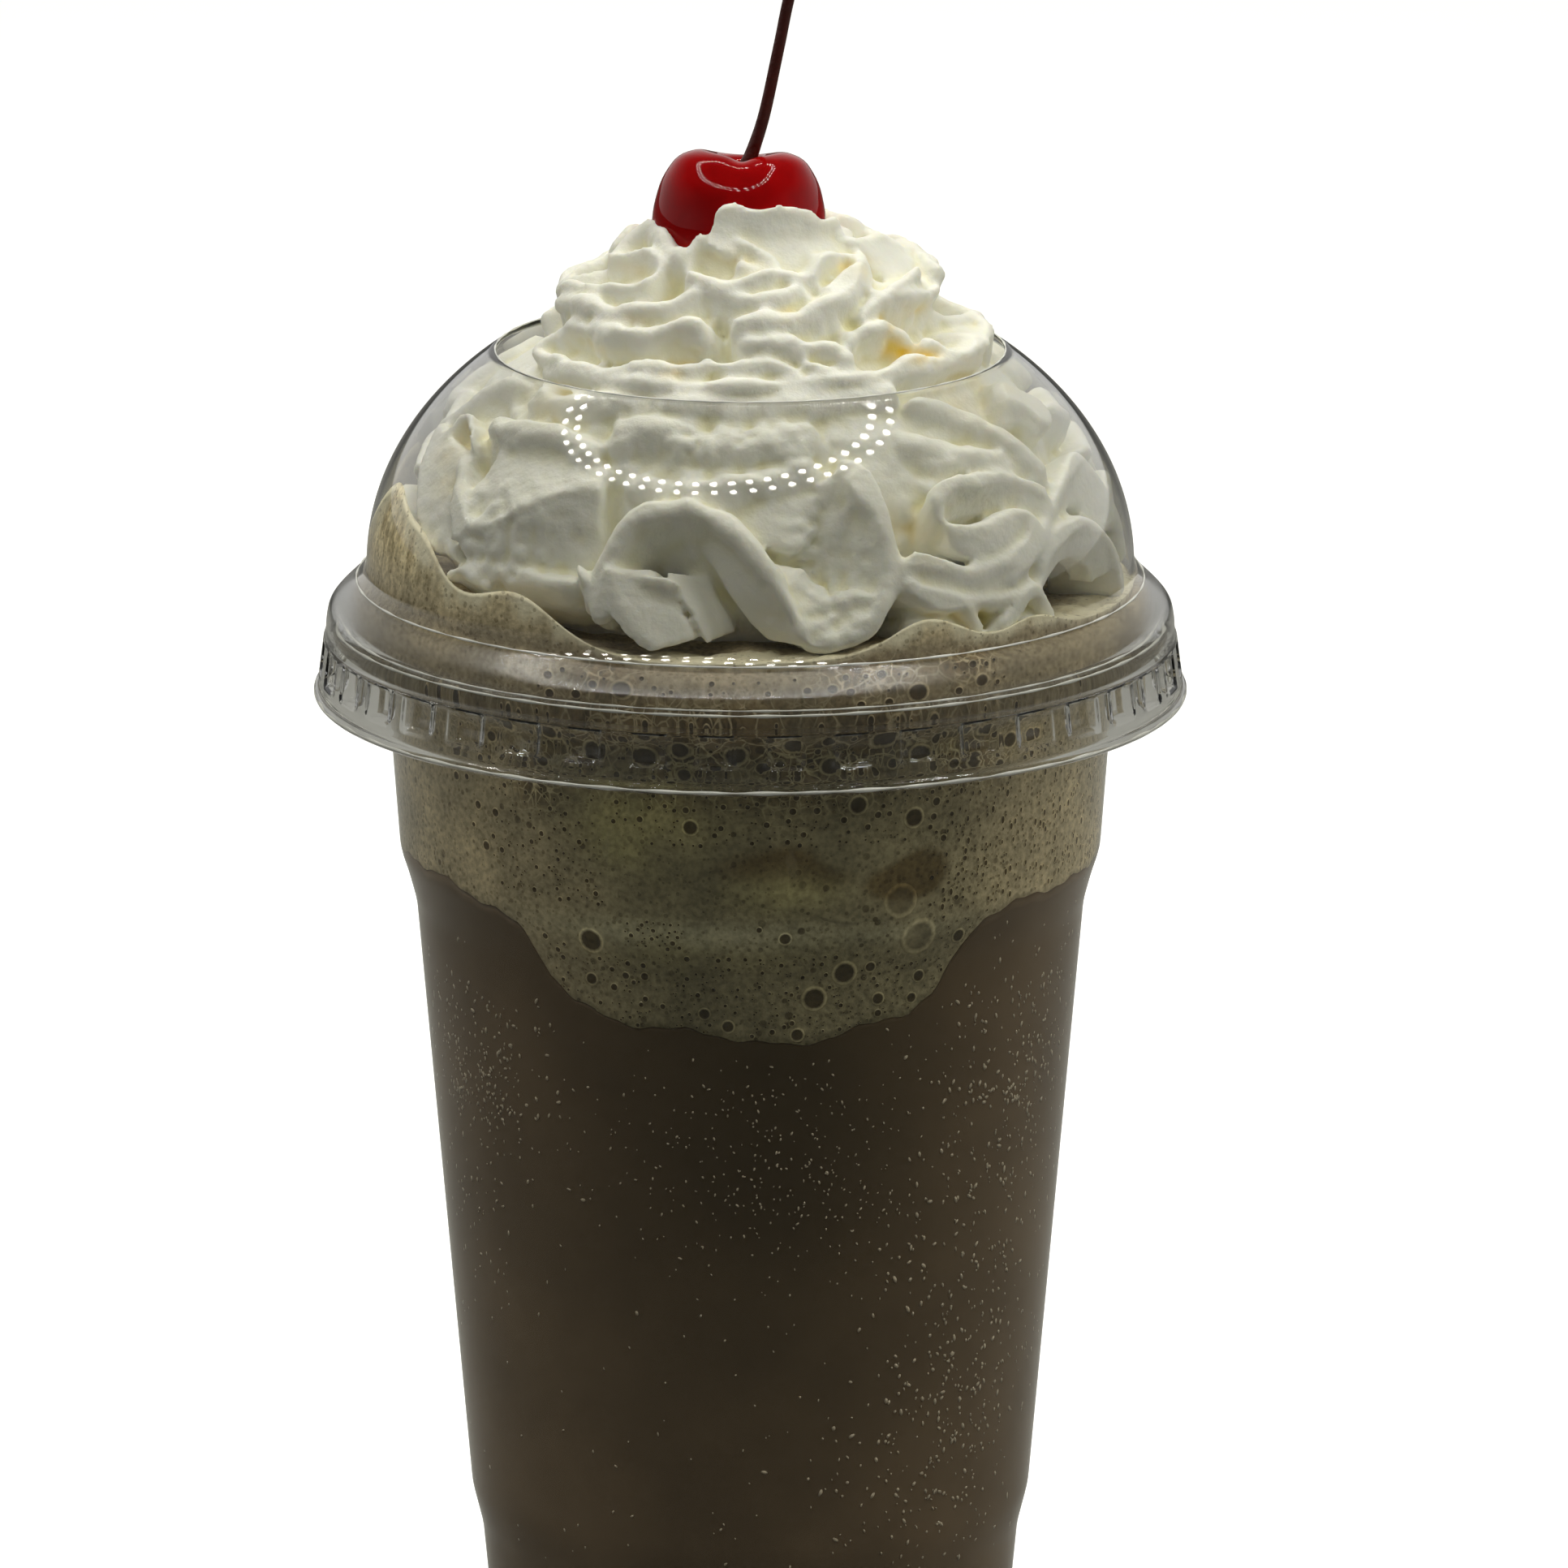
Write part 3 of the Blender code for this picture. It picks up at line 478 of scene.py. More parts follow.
def give(target, inputs):
    """Give a node's inputs, by name or number, a value, a colour or a link each."""
    for key, value in inputs.items():
        socket = target.inputs[key]
        if isinstance(value, bpy.types.NodeSocket):
            socket.id_data.links.new(value, socket)
        elif socket.type == "RGBA":
            socket.default_value = (*value, 1.0)
        else:
            socket.default_value = value


def node(tree, kind, inputs=(), **settings):
    """One shader node with its settings and inputs."""
    made = tree.nodes.new(kind)
    for key, value in settings.items():
        setattr(made, key, value)
    give(made, dict(inputs))
    return made


def maths(tree, operation, *values):
    """The outcome of a sum on values or sockets."""
    return node(tree, "ShaderNodeMath", enumerate(values), operation=operation).outputs[0]


def ramp(tree, value, start=0.0, end=1.0, low=0.0, high=1.0, kind="LINEAR"):
    """A value carried from one range over to another."""
    inputs = {"Value": value, "From Min": start, "From Max": end, "To Min": low, "To Max": high}
    return node(tree, "ShaderNodeMapRange", inputs, interpolation_type=kind).outputs[0]


def clear_plastic(name, tint, bend):
    """Clear sheet plastic. Lamps shine through it with a slight loss."""
    made, tree, shader = new_material(name)
    roughness = ramp(tree, piece_value(tree, "soft"), low=CLEAR_ROUGHNESS, high=SOFT_ROUGHNESS)
    give(shader, {"Base Color": tint, "Roughness": roughness, "IOR": bend, "Transmission Weight": 1.0})
    light = node(tree, "ShaderNodeLightPath")
    either = maths(tree, "MAXIMUM", light.outputs["Is Shadow Ray"], light.outputs["Is Diffuse Ray"])
    through = node(tree, "ShaderNodeBsdfTransparent", {"Color": PLASTIC_SHADE})
    mix = node(tree, "ShaderNodeMixShader", {0: either, 1: shader.outputs[0], 2: through.outputs[0]})
    give(tree.nodes["Material Output"], {"Surface": mix.outputs[0]})
    return made


def lather_group():
    """Lather at a given cell size in millimetres: the thin films between its cells, and small
    round holes, each with its own size."""
    tree = bpy.data.node_groups.new("lather", "ShaderNodeTree")
    for name, way in (("Cell Size", "INPUT"), ("Film Width", "INPUT"), ("Hole Size", "INPUT"),
                      ("Film", "OUTPUT"), ("Hole", "OUTPUT")):
        tree.interface.new_socket(name, in_out=way, socket_type="NodeSocketFloat")
    inlet = tree.nodes.new("NodeGroupInput")
    place = node(tree, "ShaderNodeTexCoord").outputs["Object"]
    waves = node(tree, "ShaderNodeTexNoise", {"Vector": place, "Scale": 420.0, "Detail": 1.0})
    swing = node(tree, "ShaderNodeVectorMath", {0: waves.outputs["Color"], 1: (LATHER_SWING,) * 3, 2: place},
                 operation="MULTIPLY_ADD")
    ratio = maths(tree, "DIVIDE", 1.0 / MM, inlet.outputs["Cell Size"])
    edges = node(tree, "ShaderNodeTexVoronoi", {"Vector": swing.outputs[0], "Scale": ratio},
                 feature="DISTANCE_TO_EDGE")
    centres = node(tree, "ShaderNodeTexVoronoi", {"Vector": place, "Scale": ratio}, feature="F1")
    film = ramp(tree, edges.outputs["Distance"], 0.0, inlet.outputs["Film Width"], 1.0, 0.0, "SMOOTHSTEP")
    draw = node(tree, "ShaderNodeSeparateColor", {0: centres.outputs["Color"]})
    size = maths(tree, "MULTIPLY", draw.outputs[0], inlet.outputs["Hole Size"])
    inside = maths(tree, "DIVIDE", centres.outputs["Distance"], size)
    hole = ramp(tree, inside, 0.75, 1.1, 1.0, 0.0, "SMOOTHSTEP")
    give(tree.nodes.new("NodeGroupOutput"), {"Film": film, "Hole": hole})
    return tree


def lather(tree, cell_size, film_width, hole_size):
    """What the lather group puts out in a material, with its own sizes."""
    sizes = {"Cell Size": cell_size, "Film Width": film_width, "Hole Size": hole_size}
    return node(tree, "ShaderNodeGroup", sizes, node_tree=LATHER).outputs


def mix_colour(tree, factor, one, other, blend="MIX"):
    """A colour mix. Each side is a colour or the socket of one. The factor is a number, a
    socket, or the name of a number stored with the piece's points."""
    if isinstance(factor, str):
        factor = piece_value(tree, factor)
    return node(tree, "ShaderNodeMix", {0: factor, 6: one, 7: other}, data_type="RGBA",
                blend_type=blend).outputs[2]


def tinted(tree, tone, tint):
    """A tone multiplied by a colour."""
    return mix_colour(tree, 1.0, tone, tint, "MULTIPLY")


def noise_value(tree, scale, detail=3.0, low=0.35, high=0.65, tall=1.0):
    """Procedural noise stretched between two levels, with scale in lumps per metre, and lumps
    drawn out upwards by the factor tall."""
    place = node(tree, "ShaderNodeTexCoord").outputs["Object"]
    drawn = node(tree, "ShaderNodeVectorMath", {0: place, 1: (1.0, 1.0, 1.0 / tall)}, operation="MULTIPLY")
    pattern = node(tree, "ShaderNodeTexNoise", {"Vector": drawn.outputs[0], "Scale": scale, "Detail": detail})
    return ramp(tree, pattern.outputs[0], low, high)


def piece_value(tree, name):
    """A number stored with a piece's points."""
    return node(tree, "ShaderNodeAttribute", attribute_name=name).outputs["Fac"]


def bump(tree, shader, scale, detail, distance):
    """Fine relief in a material, distance in millimetres."""
    height = noise_value(tree, scale, detail)
    relief = node(tree, "ShaderNodeBump", {"Strength": 1.0, "Distance": distance * MM, "Height": height})
    give(shader, {"Normal": relief.outputs[0]})


def cream_material():
    """Soft satin whipped cream, with painted shade in its creases as a darker yellow, and painted yellow
    light in some hollows.
    """
    made, tree, shader = new_material("whipped cream")
    # Painted shade: creases turn a darker yellow
    base = mix_colour(tree, "crease_shade", (0.90, 0.895, 0.83), (0.82, 0.77, 0.43))
    # Painted yellow light, strongest deep in hollows
    base = mix_colour(tree, "hollow_light", base, (0.92, 0.66, 0.10))
    give(shader, {"Base Color": base, "Roughness": 0.45, "Specular IOR Level": 0.3,
                  "Subsurface Weight": 0.35, "Subsurface Radius": (1.0, 0.85, 0.5),
                  "Subsurface Scale": 1.0 * MM})
    bump(tree, shader, 900.0, 3.0, 0.05)
    return made


def foam_tone(tree):
    """Colour of foam: darker in the cup and darker still at its front by painted shade, lighter in the dome,
    tinted where ice cream shows, with a painted highlight along the cup's step.
    """
    # Painted shade: the foam in the cup darkens towards the front
    cup = mix_colour(tree, "foam_front_shade", (0.60, 0.51, 0.34), (0.235, 0.21, 0.128))
    lid = mix_colour(tree, "height", (0.42, 0.35, 0.235), (0.98, 0.87, 0.62))
    tone = mix_colour(tree, "in_cup", lid, cup)
    # The step's painted highlight, then syrup and vanilla tints
    for name, colour in (("step_highlight", (0.56, 0.53, 0.37)), ("syrup", (0.115, 0.082, 0.032)),
                         ("vanilla", (0.45, 0.41, 0.21))):
        tone = mix_colour(tree, name, tone, colour)
    patches = mix_colour(tree, noise_value(tree, 120.0, 4.0), (0.76, 0.76, 0.74), (1.16, 1.15, 1.12))
    grain = mix_colour(tree, noise_value(tree, 1400.0, 2.0), (0.78, 0.77, 0.74), (1.22, 1.22, 1.2))
    tone = tinted(tree, tinted(tree, tone, patches), grain)
    drawn = noise_value(tree, 700.0, 3.0, tall=9.0)
    streaks = mix_colour(tree, drawn, (0.60, 0.55, 0.46), (1.25, 1.22, 1.16))
    tone = mix_colour(tree, "height", tone, tinted(tree, tone, streaks))
    ragged = noise_value(tree, 330.0, 4.0, 0.3, 0.7, tall=3.0)
    thin = maths(tree, "MULTIPLY_ADD", ragged, 0.8, piece_value(tree, "thin"))
    return mix_colour(tree, ramp(tree, thin, 0.7, 1.5, kind="SMOOTHSTEP"), tone, (0.86, 0.80, 0.60))


def lathered(tree, tone):
    """A foam tone with its small holes, and with wide cells where the foam is coarse."""
    holes = lather(tree, 0.75, 0.1, 0.42)["Hole"]
    pits = maths(tree, "MULTIPLY", lather(tree, 1.5, 0.1, 0.36)["Hole"], piece_value(tree, "in_cup"))
    spread = noise_value(tree, 190.0, 3.0, 0.42, 0.62)
    base = mix_colour(tree, holes, tone, tinted(tree, tone, (0.62, 0.60, 0.56)))
    deep = mix_colour(tree, spread, tone, tinted(tree, tone, (0.36, 0.33, 0.28)))
    base = mix_colour(tree, pits, base, deep)
    wide = lather(tree, 3.2, 0.05, 0.9)
    narrow = lather(tree, 1.4, 0.09, 0.9)
    share = maths(tree, "MULTIPLY", narrow["Film"], noise_value(tree, 150.0, 2.0, 0.4, 0.55))
    films = maths(tree, "MAXIMUM", wide["Film"], share)
    dark = mix_colour(tree, narrow["Hole"], tinted(tree, tone, (0.62, 0.53, 0.41)),
                      tinted(tree, tone, (0.30, 0.25, 0.18)))
    cells = mix_colour(tree, films, dark, tinted(tree, tone, (1.75, 1.78, 1.8)))
    return mix_colour(tree, "coarse", base, cells)


def foam_material(name, relief=0.0):
    """Foam of the float, which also covers its ice cream as a film."""
    made, tree, shader = new_material(name)
    base = lathered(tree, foam_tone(tree))
    give(shader, {"Base Color": base, "Roughness": 0.5, "Specular IOR Level": 0.2})
    if relief:
        bump(tree, shader, 700.0, 3.0, relief)
    return made


def bubble_material():
    """Single bubbles in the foam: dark inside, with a light rim."""
    made, tree, shader = new_material("foam bubbles")
    tone = foam_tone(tree)
    inside = tinted(tree, tone, (0.20, 0.17, 0.12))
    base = mix_colour(tree, "rim", inside, tinted(tree, tone, (1.7, 1.7, 1.7)))
    give(shader, {"Base Color": base, "Roughness": 0.3, "Specular IOR Level": 0.2})
    return made


def plain_material(name, colour, roughness, specular=0.5, relief=0.0, others=()):
    """A material with a slight procedural change of tone."""
    made, tree, shader = new_material(name)
    darker, lighter = (tuple(min(1.0, share * part) for part in colour) for share in (0.82, 1.18))
    base = mix_colour(tree, noise_value(tree, 160.0, 4.0), darker, lighter)
    give(shader, {"Base Color": base, "Roughness": roughness, "Specular IOR Level": specular,
                  **dict(others)})
    if relief:
        bump(tree, shader, 900.0, 2.0, relief)
    return made


def drink_material():
    """Dark soda, paler at the sides as painted light and darker at the front and higher up as painted shade.
    """
    made, tree, shader = new_material("dark soda")
    # Painted shade darkens the front and the sides stay paler as painted light
    base = mix_colour(tree, "deep", (0.190, 0.135, 0.083), (0.056, 0.039, 0.019))
    clouds = mix_colour(tree, noise_value(tree, 60.0, 3.0), (0.88, 0.88, 0.88), (1.12, 1.12, 1.12))
    give(shader, {"Base Color": tinted(tree, base, clouds), "Roughness": 0.4, "Specular IOR Level": 0.1,
                  "Sheen Weight": 0.35, "Sheen Roughness": 0.4, "Sheen Tint": (0.60, 0.47, 0.33)})
    return made


def cherry_material():
    """Cherry in syrup: deep red, wet."""
    flesh = {"Subsurface Weight": 0.2, "Subsurface Radius": (1.0, 0.1, 0.08), "Subsurface Scale": 1.5 * MM}
    return plain_material("cherry", (0.30, 0.0015, 0.002), 0.035, 0.13, others=flesh)


# The cup


def make_cup(finish):
    """The cup, with its standing ring, step, shoulder and rolled rim."""
    outside = [(FOOT_PANEL, FOOT_RISE), (STANDING_RING, 0.0), *CUP_OUTLINE]
    inside = [(FOOT_PANEL, FOOT_RISE + SHEET), (STANDING_RING + 0.2, SHEET), (FLOOR_EDGE, SHEET),
              *offset(CUP_OUTLINE[2:], -SHEET)]
    roll = arc(RIM_CENTRE, RIM_TUBE, *RIM_ARC)
    outline = [*rounded(outside, OUTER_ROUNDING), *roll, *rounded(inside, INNER_ROUNDING)[::-1]]
    ends = ((0.0, 0.0, FOOT_RISE), (0.0, 0.0, FOOT_RISE + SHEET))
    return turned_piece("clear_cup", turned(outline, CUP_SIDES), finish, ends)


def wall_inside(height):
    """Radius of the cup's inside at each height."""
    return linear(height, CUP_OUTLINE[2:]) - SHEET


# The lid


def lug_share(azimuths):
    """How far each point of the skirt is drawn in by the lugs, from 0 to 1."""
    turn = (azimuths * LUG_COUNT / 360.0) % 1.0
    return limited((LUG_HALF_WIDTH - np.abs(turn - 0.5)) / LUG_SOFT_SIDE)


def lid_face(inset):
    """One face of the lid as rings, from the hole down to the skirt's edge."""
    wide = DOME_RADIUS - inset
    tall = DOME_HEIGHT - inset
    start = math.degrees(math.acos(HOLE_RADIUS / wide))
    dome = [(wide * math.cos(a), DOME_FOOT + tall * math.sin(a))
            for a in np.radians(np.linspace(start, 2.0, DOME_STEPS))]
    flare = [(radius - inset, height - 0.35 * inset) for radius, height in FLARE_OUTLINE]
    rings = list(turned([*dome, *rounded(flare, 1.0, 5)], LID_SIDES))
    azimuths = around(LID_SIDES)
    pull = lug_share(azimuths)
    for height, depth in LUG_PROFILE:
        radius = LUG_RADIUS + (LUG_TOP - height) * LUG_SLOPE - inset - depth * LUG_DEPTH * pull
        rings.append(polar(azimuths, radius, height))
    return rings + list(turned([(radius - inset, height) for radius, height in SKIRT_OUTLINE], LID_SIDES))


def make_lid(finish):
    """The clear lid, with a rolled edge at the skirt's foot and a round lip at the hole."""
    edge, foot = SKIRT_EDGE
    roll = turned(arc((edge - ROLL, foot + ROLL), ROLL, *ROLL_ARC), LID_SIDES)
    outer = lid_face(0.0)
    inner = lid_face(SHEET)[::-1]
    low, high = inner[-1], outer[0]
    lip = []
    for angle in np.radians(LIP_ANGLES):
        narrow = 1.0 - 0.008 * (math.cos(angle) - 0.4)
        middle = 0.5 * (low + high) + 0.5 * math.sin(angle) * (high - low)
        lip.append(middle * np.array([narrow, narrow, 1.0]))
    made = turned_piece("clear_dome_lid", np.stack([*outer, *roll, *inner, *lip]), finish)
    levels = piece_points(made)[:, 2]
    soft = SOFT_LIP * (levels > low[0, 2] / MM - 0.1)
    for height, reach, amount in SOFT_BANDS:
        soft += amount * np.exp(-((levels - height) / reach) ** 4)
    vertex_values(made, "soft", soft)
    return made


def make_highlight_line(name, radius, height, thickness, finish):
    """A painted highlight: a fine whitish raised ring along an edge of the plastic, uneven so that it breaks
    into dashes.
    """
    azimuths = around(HIGHLIGHT_LINE_SIDES)
    uneven = 1.0 + 0.28 * sine(54.0 * azimuths) + 0.2 * sine(31.0 * azimuths)
    rings = []
    for angle in np.radians(around(8)):
        out = thickness * math.cos(angle) * uneven
        up = thickness * math.sin(angle) * uneven
        rings.append(polar(azimuths, radius + out, height + up))
    return turned_piece(name, np.stack(rings), finish)


# What fills the cup


def foam_edge(azimuths):
    """Height of the foam's lower edge on the cup's wall."""
    turn = turn_from(azimuths)
    wave = 0.25 * sine(23.0 * turn) + 0.15 * sine(61.0 * turn + 40.0)
    return np.interp(turn, *zip(*FOAM_EDGE)) + wave


def foam_top(azimuths, radius):
    """Height of the foam's top, which climbs the side of the dome in a few places."""
    rise = sum(height * np.exp(-(turn_from(azimuths, centre) / width) ** 2)
               for centre, height, width in FOAM_SWELLS)
    outer_share = limited((radius - SWELL_INNER_RADIUS) / (DOME_RADIUS - SWELL_INNER_RADIUS))
    wave = 0.4 * sine(3.0 * azimuths) * radius / DOME_RADIUS
    ragged = sine(11.0 * azimuths) + 0.6 * sine(19.0 * azimuths + 60.0)
    return FOAM_TOP + wave + rise * (1.0 + 0.05 * ragged) * outer_share ** 2


def dome_inside(height, gap=0.0):
    """Radius of the dome's inside at each height, less a gap."""
    rise = np.clip(height - DOME_FOOT, 0.0, None) / (DOME_HEIGHT - SHEET - gap)
    return (DOME_RADIUS - SHEET - gap) * np.sqrt(np.clip(1.0 - rise * rise, 0.0, 1.0))


def interface_rings(azimuths, reach):
    """Rings of the surface between drink and foam, from the middle out to the wall."""
    edge = foam_edge(azimuths)
    first = INTERFACE_SHARES[0]
    rings = []
    for share in INTERFACE_SHARES:
        blend = ((share - first) / (1.0 - first)) ** 2
        height = FOAM_INNER_LEVEL + blend * (edge - FOAM_INNER_LEVEL)
        rings.append(polar(azimuths, share * (wall_inside(height) + reach), height))
    return rings


def make_drink(finish):
    """The drink up to the foam."""
    azimuths = around(FOAM_SIDES)
    floor = [(FOOT_PANEL, FOOT_RISE + SHEET - REACH), (STANDING_RING + 0.3, SHEET - REACH),
             (FLOOR_EDGE, SHEET - REACH), DRINK_CORNER]
    wall = [(float(wall_inside(height)) + REACH, height) for height in DRINK_LEVELS]
    rings = list(turned([*floor, *wall], FOAM_SIDES))
    last = DRINK_LEVELS[-1]
    for share in (0.2, 0.4, 0.6, 0.8, 0.93):
        height = last + share * (foam_edge(azimuths) - last)
        rings.append(polar(azimuths, wall_inside(height) + REACH, height))
    rings += interface_rings(azimuths, REACH)[::-1]
    ends = ((0.0, 0.0, FOOT_RISE + SHEET - REACH), (0.0, 0.0, FOAM_INNER_LEVEL))
    made = turned_piece("soda", np.stack(rings), finish, ends)
    place = piece_points(made)
    # Painted shade: darker towards the front and higher up
    middle = np.exp(-((azimuth_of(place) - SODA_SHADE_AZIMUTH) / SODA_SHADE_WIDTH) ** 2)
    vertex_values(made, "deep", middle * limited(0.35 + (place[:, 2] - 40.0) / 70.0))
    return made


def make_foam(finish):
    """The head of foam, from its tongue up into the dome."""
    azimuths = around(FOAM_SIDES)
    edge = foam_edge(azimuths)
    rings = interface_rings(azimuths, FOAM_REACH)
    for share in np.linspace(0.03, 1.0, 40):
        height = edge + share * (FOAM_LIP[0][1] - edge)
        rings.append(polar(azimuths, wall_inside(height) + FOAM_REACH, height))
    rings += list(turned(FOAM_LIP[1:], FOAM_SIDES))
    top = foam_top(azimuths, DOME_RADIUS)
    for share in np.linspace(0.15, 1.0, 12):
        height = FOAM_LIP[-1][1] + share * (top - FOAM_LIP[-1][1])
        rings.append(polar(azimuths, dome_inside(height) + FOAM_REACH, height))
    for radius in FOAM_TOP_RADII:
        rings.append(polar(azimuths, radius, foam_top(azimuths, radius)))
    grid = np.stack(rings)
    free = grid[-len(FOAM_TOP_RADII):].reshape(-1, 3)
    free[:, 2] += (0.35 * smooth_noise(free, 2.6, 3) + 0.2 * smooth_noise(free, 1.2, 4)) * MM
    ends = ((0.0, 0.0, FOAM_INNER_LEVEL), (0.0, 0.0, FOAM_TOP))
    made = turned_piece("foam", grid, finish, ends)
    foam_values(made)
    return made


def foam_values(piece):
    """Store where foam is in the cup, darkened by painted shade at the front, high, thin, coarse, tinted by
    ice cream or lit by a painted highlight along the cup's step.
    """
    place = piece_points(piece)
    height = place[:, 2]
    azimuth = azimuth_of(place)
    wave = 6.0 * smooth_noise(place * MM, 9.0, 31)
    ragged = 1.0 + 0.8 * smooth_noise(place * MM, 5.0, 32)
    top = foam_top(azimuth, DOME_RADIUS)
    below = (top - height) / (1.6 + 0.5 * (top - FOAM_TOP))
    on_wall = limited((np.hypot(place[:, 0], place[:, 1]) - ON_WALL[0]) / ON_WALL[1])
    for name, values in (("in_cup", (IN_CUP[0] - height) / IN_CUP[1]),
                         # painted shade at the front of the cup
                         ("foam_front_shade", np.exp(-((azimuth - FOAM_SHADE_AZIMUTH + wave) / FOAM_SHADE_WIDTH) ** 4)),
                         ("height", (height - HIGH[0]) / HIGH[1]),
                         ("thin", limited(1.0 - below) * on_wall * (height > THIN_FOOT)),
                         ("coarse", 1.6 * ragged * fade(place, COARSE)),
                         ("vanilla", 1.3 * ragged * fade(place, VANILLA)),
                         ("syrup", np.minimum(3.6 * (ragged * fade(place, SYRUP) - 0.33), 0.9)),
                         # painted highlight along the cup's step
                         ("step_highlight", fade(place, STEP_HIGHLIGHT))):
        vertex_values(piece, name, values)


def foam_wall(height):
    """Radius of the foam's outside, from the cup's wall up to the lid's flare."""
    cup = float(wall_inside(height)) + FOAM_REACH
    radii, heights = zip(*FOAM_LIP)
    return float(np.interp(height, heights, radii)) if height > heights[0] else cup


def bubble_discs(name, spots, finish):
    """Bubbles pressed on the cup's inside as one mesh. Each spot is azimuth, height,
    radius and stretch upwards."""
    sides = BUBBLE_SIDES
    points = []
    faces = []
    rims = []
    for azimuth, height, radius, stretch in spots:
        start = len(points)
        inside = 0.35 if radius > PALE_BUBBLE else 0.0
        for share, rise, rim in BUBBLE_PROFILE:
            for step in range(sides if share else 1):
                turn = 2 * math.pi * step / sides
                high = height + share * radius * stretch * math.sin(turn)
                wide = share * radius * math.cos(turn)
                level = foam_wall(high) + BUBBLE_REACH - FOAM_REACH + rise
                points.append(polar(azimuth + math.degrees(wide / level), level, high))
                rims.append(max(rim, inside))
        for step in range(sides):
            after = (step + 1) % sides
            faces.append((start, start + 1 + step, start + 1 + after))
        for inner in (start + 1, start + 1 + sides):
            outer = inner + sides
            for step in range(sides):
                after = (step + 1) % sides
                faces.append((inner + step, outer + step, outer + after, inner + after))
    made = add_piece(name, points, faces, finish)
    outward(made)
    foam_values(made)
    vertex_values(made, "rim", rims)
    return made


def scattered(zones, seed):
    """Small bubbles drawn at random. Each zone is count, azimuths, heights, radii, stretch."""
    draw = np.random.default_rng(seed)
    spots = []
    for count, low_azimuth, high_azimuth, low, high, small, large, stretch in zones:
        for _ in range(count):
            azimuth = draw.uniform(low_azimuth, high_azimuth)
            height = draw.uniform(low, high)
            radius = small + (large - small) * draw.uniform() ** 3
            spots.append((azimuth, height, radius, stretch))
    return spots


def clear_of_others(spots, gap):
    """The spots that don't overlap one before them, and lie inside the foam."""
    kept = []
    for spot in spots:
        azimuth, height, radius, stretch = spot
        if height < float(foam_edge(azimuth)) + 1.1 * radius * stretch:
            continue
        if all(math.hypot(math.radians(azimuth - other[0]) * BUBBLE_RADIUS, height - other[1])
               >= gap * (radius + other[2]) for other in kept):
            kept.append(spot)
    return kept


def make_foam_bubbles(finish):
    """The bubbles of the foam at the front and a plainer scatter behind."""
    spots = [(azimuth, height, radius, 1.0) for azimuth, height, radius in LARGE_BUBBLES]
    spots += scattered(LATHER_ZONES, 40)
    spots += scattered(BUBBLE_ZONES, 41)
    return bubble_discs("foam_bubbles", clear_of_others(spots, 1.25), finish)


def make_soda_bubbles(finish):
    """Tiny gas bubbles on the cup's wall as one mesh of small pointed grains, pale as a painted glint."""
    draw = np.random.default_rng(51)
    points = []
    faces = []
    for count, azimuth, height, spread, rise, small, large in SODA_ZONES:
        for _ in range(count):
            spot = azimuth + spread * draw.normal()
            level = height + rise * draw.normal()
            if level < 4.5 or level > float(foam_edge(spot)) - 1.0:
                continue
            size = draw.uniform(small, large)
            stretch = draw.uniform(1.0, 2.2)
            slant = draw.normal() * 0.7
            radius = float(wall_inside(level)) + BUBBLE_REACH
            turn = math.degrees(size / radius)
            start = len(points)
            points += [polar(spot, radius + 0.08, level), polar(spot, radius - 0.25, level)]
            for angle in np.radians(around(8)):
                wide = math.cos(angle)
                tall = stretch * math.sin(angle)
                side = wide * math.cos(slant) - tall * math.sin(slant)
                up = wide * math.sin(slant) + tall * math.cos(slant)
                points.append(polar(spot + side * turn, radius - 0.08, level + up * size))
            for step in range(8):
                one = start + 2 + step
                other = start + 2 + (step + 1) % 8
                faces += [(start, one, other), (start + 1, other, one)]
    made = add_piece("soda_bubbles", points, faces, finish)
    outward(made)
    return made


def make_scoop(finish):
    """The scoop, pressed flat where it meets the cup's wall."""
    rows, sides = SCOOP_GRID
    lean = np.pi * np.arange(1, rows) / rows - np.pi / 2
    turn = 2 * np.pi * np.arange(sides) / sides
    lean, turn = np.meshgrid(lean, turn, indexing="ij")
    swell = 1.0 + 0.03 * np.sin(3 * turn + 2 * lean)
    ball = np.stack([SCOOP_RADII[0] * np.cos(lean) * swell * np.sin(turn),
                     -SCOOP_RADII[1] * np.cos(lean) * swell * np.cos(turn),
                     SCOOP_RADII[2] * np.sin(lean)], axis=-1)
    roll = np.array(Matrix.Rotation(math.radians(SCOOP_ROLL), 3, "Y"))
    ball = ball @ roll.T + np.array(SCOOP_CENTRE)
    ball += 0.5 * smooth_noise(ball.reshape(-1, 3) * MM, 6.0, 11).reshape(*ball.shape[:2], 1)
    flat = np.hypot(ball[..., 0], ball[..., 1])
    limit = wall_inside(ball[..., 2]) + FOAM_REACH + 0.05
    ball[..., :2] *= np.minimum(1.0, limit / np.maximum(flat, 1.0))[..., None]
    pole = roll @ np.array([0.0, 0.0, SCOOP_RADII[2]])
    ends = (np.array(SCOOP_CENTRE) - pole, np.array(SCOOP_CENTRE) + pole)
    made = turned_piece("scoop", ball * MM, finish, ends)
    foam_values(made)
    return made


# The cream


def cream_outside(azimuth, height):
    """Radius of the cream's outside."""
    if height < CROWN_FOOT:
        return float(dome_inside(height, CREAM_GAP))
    radius = float(linear(height, CROWN_OUTLINE))
    for centre, level, wide, tall, amount in CROWN_SWELLS:
        turn = turn_from(azimuth, centre)
        radius += amount * math.exp(-(turn / wide) ** 2 - ((height - level) / tall) ** 2)
    return radius


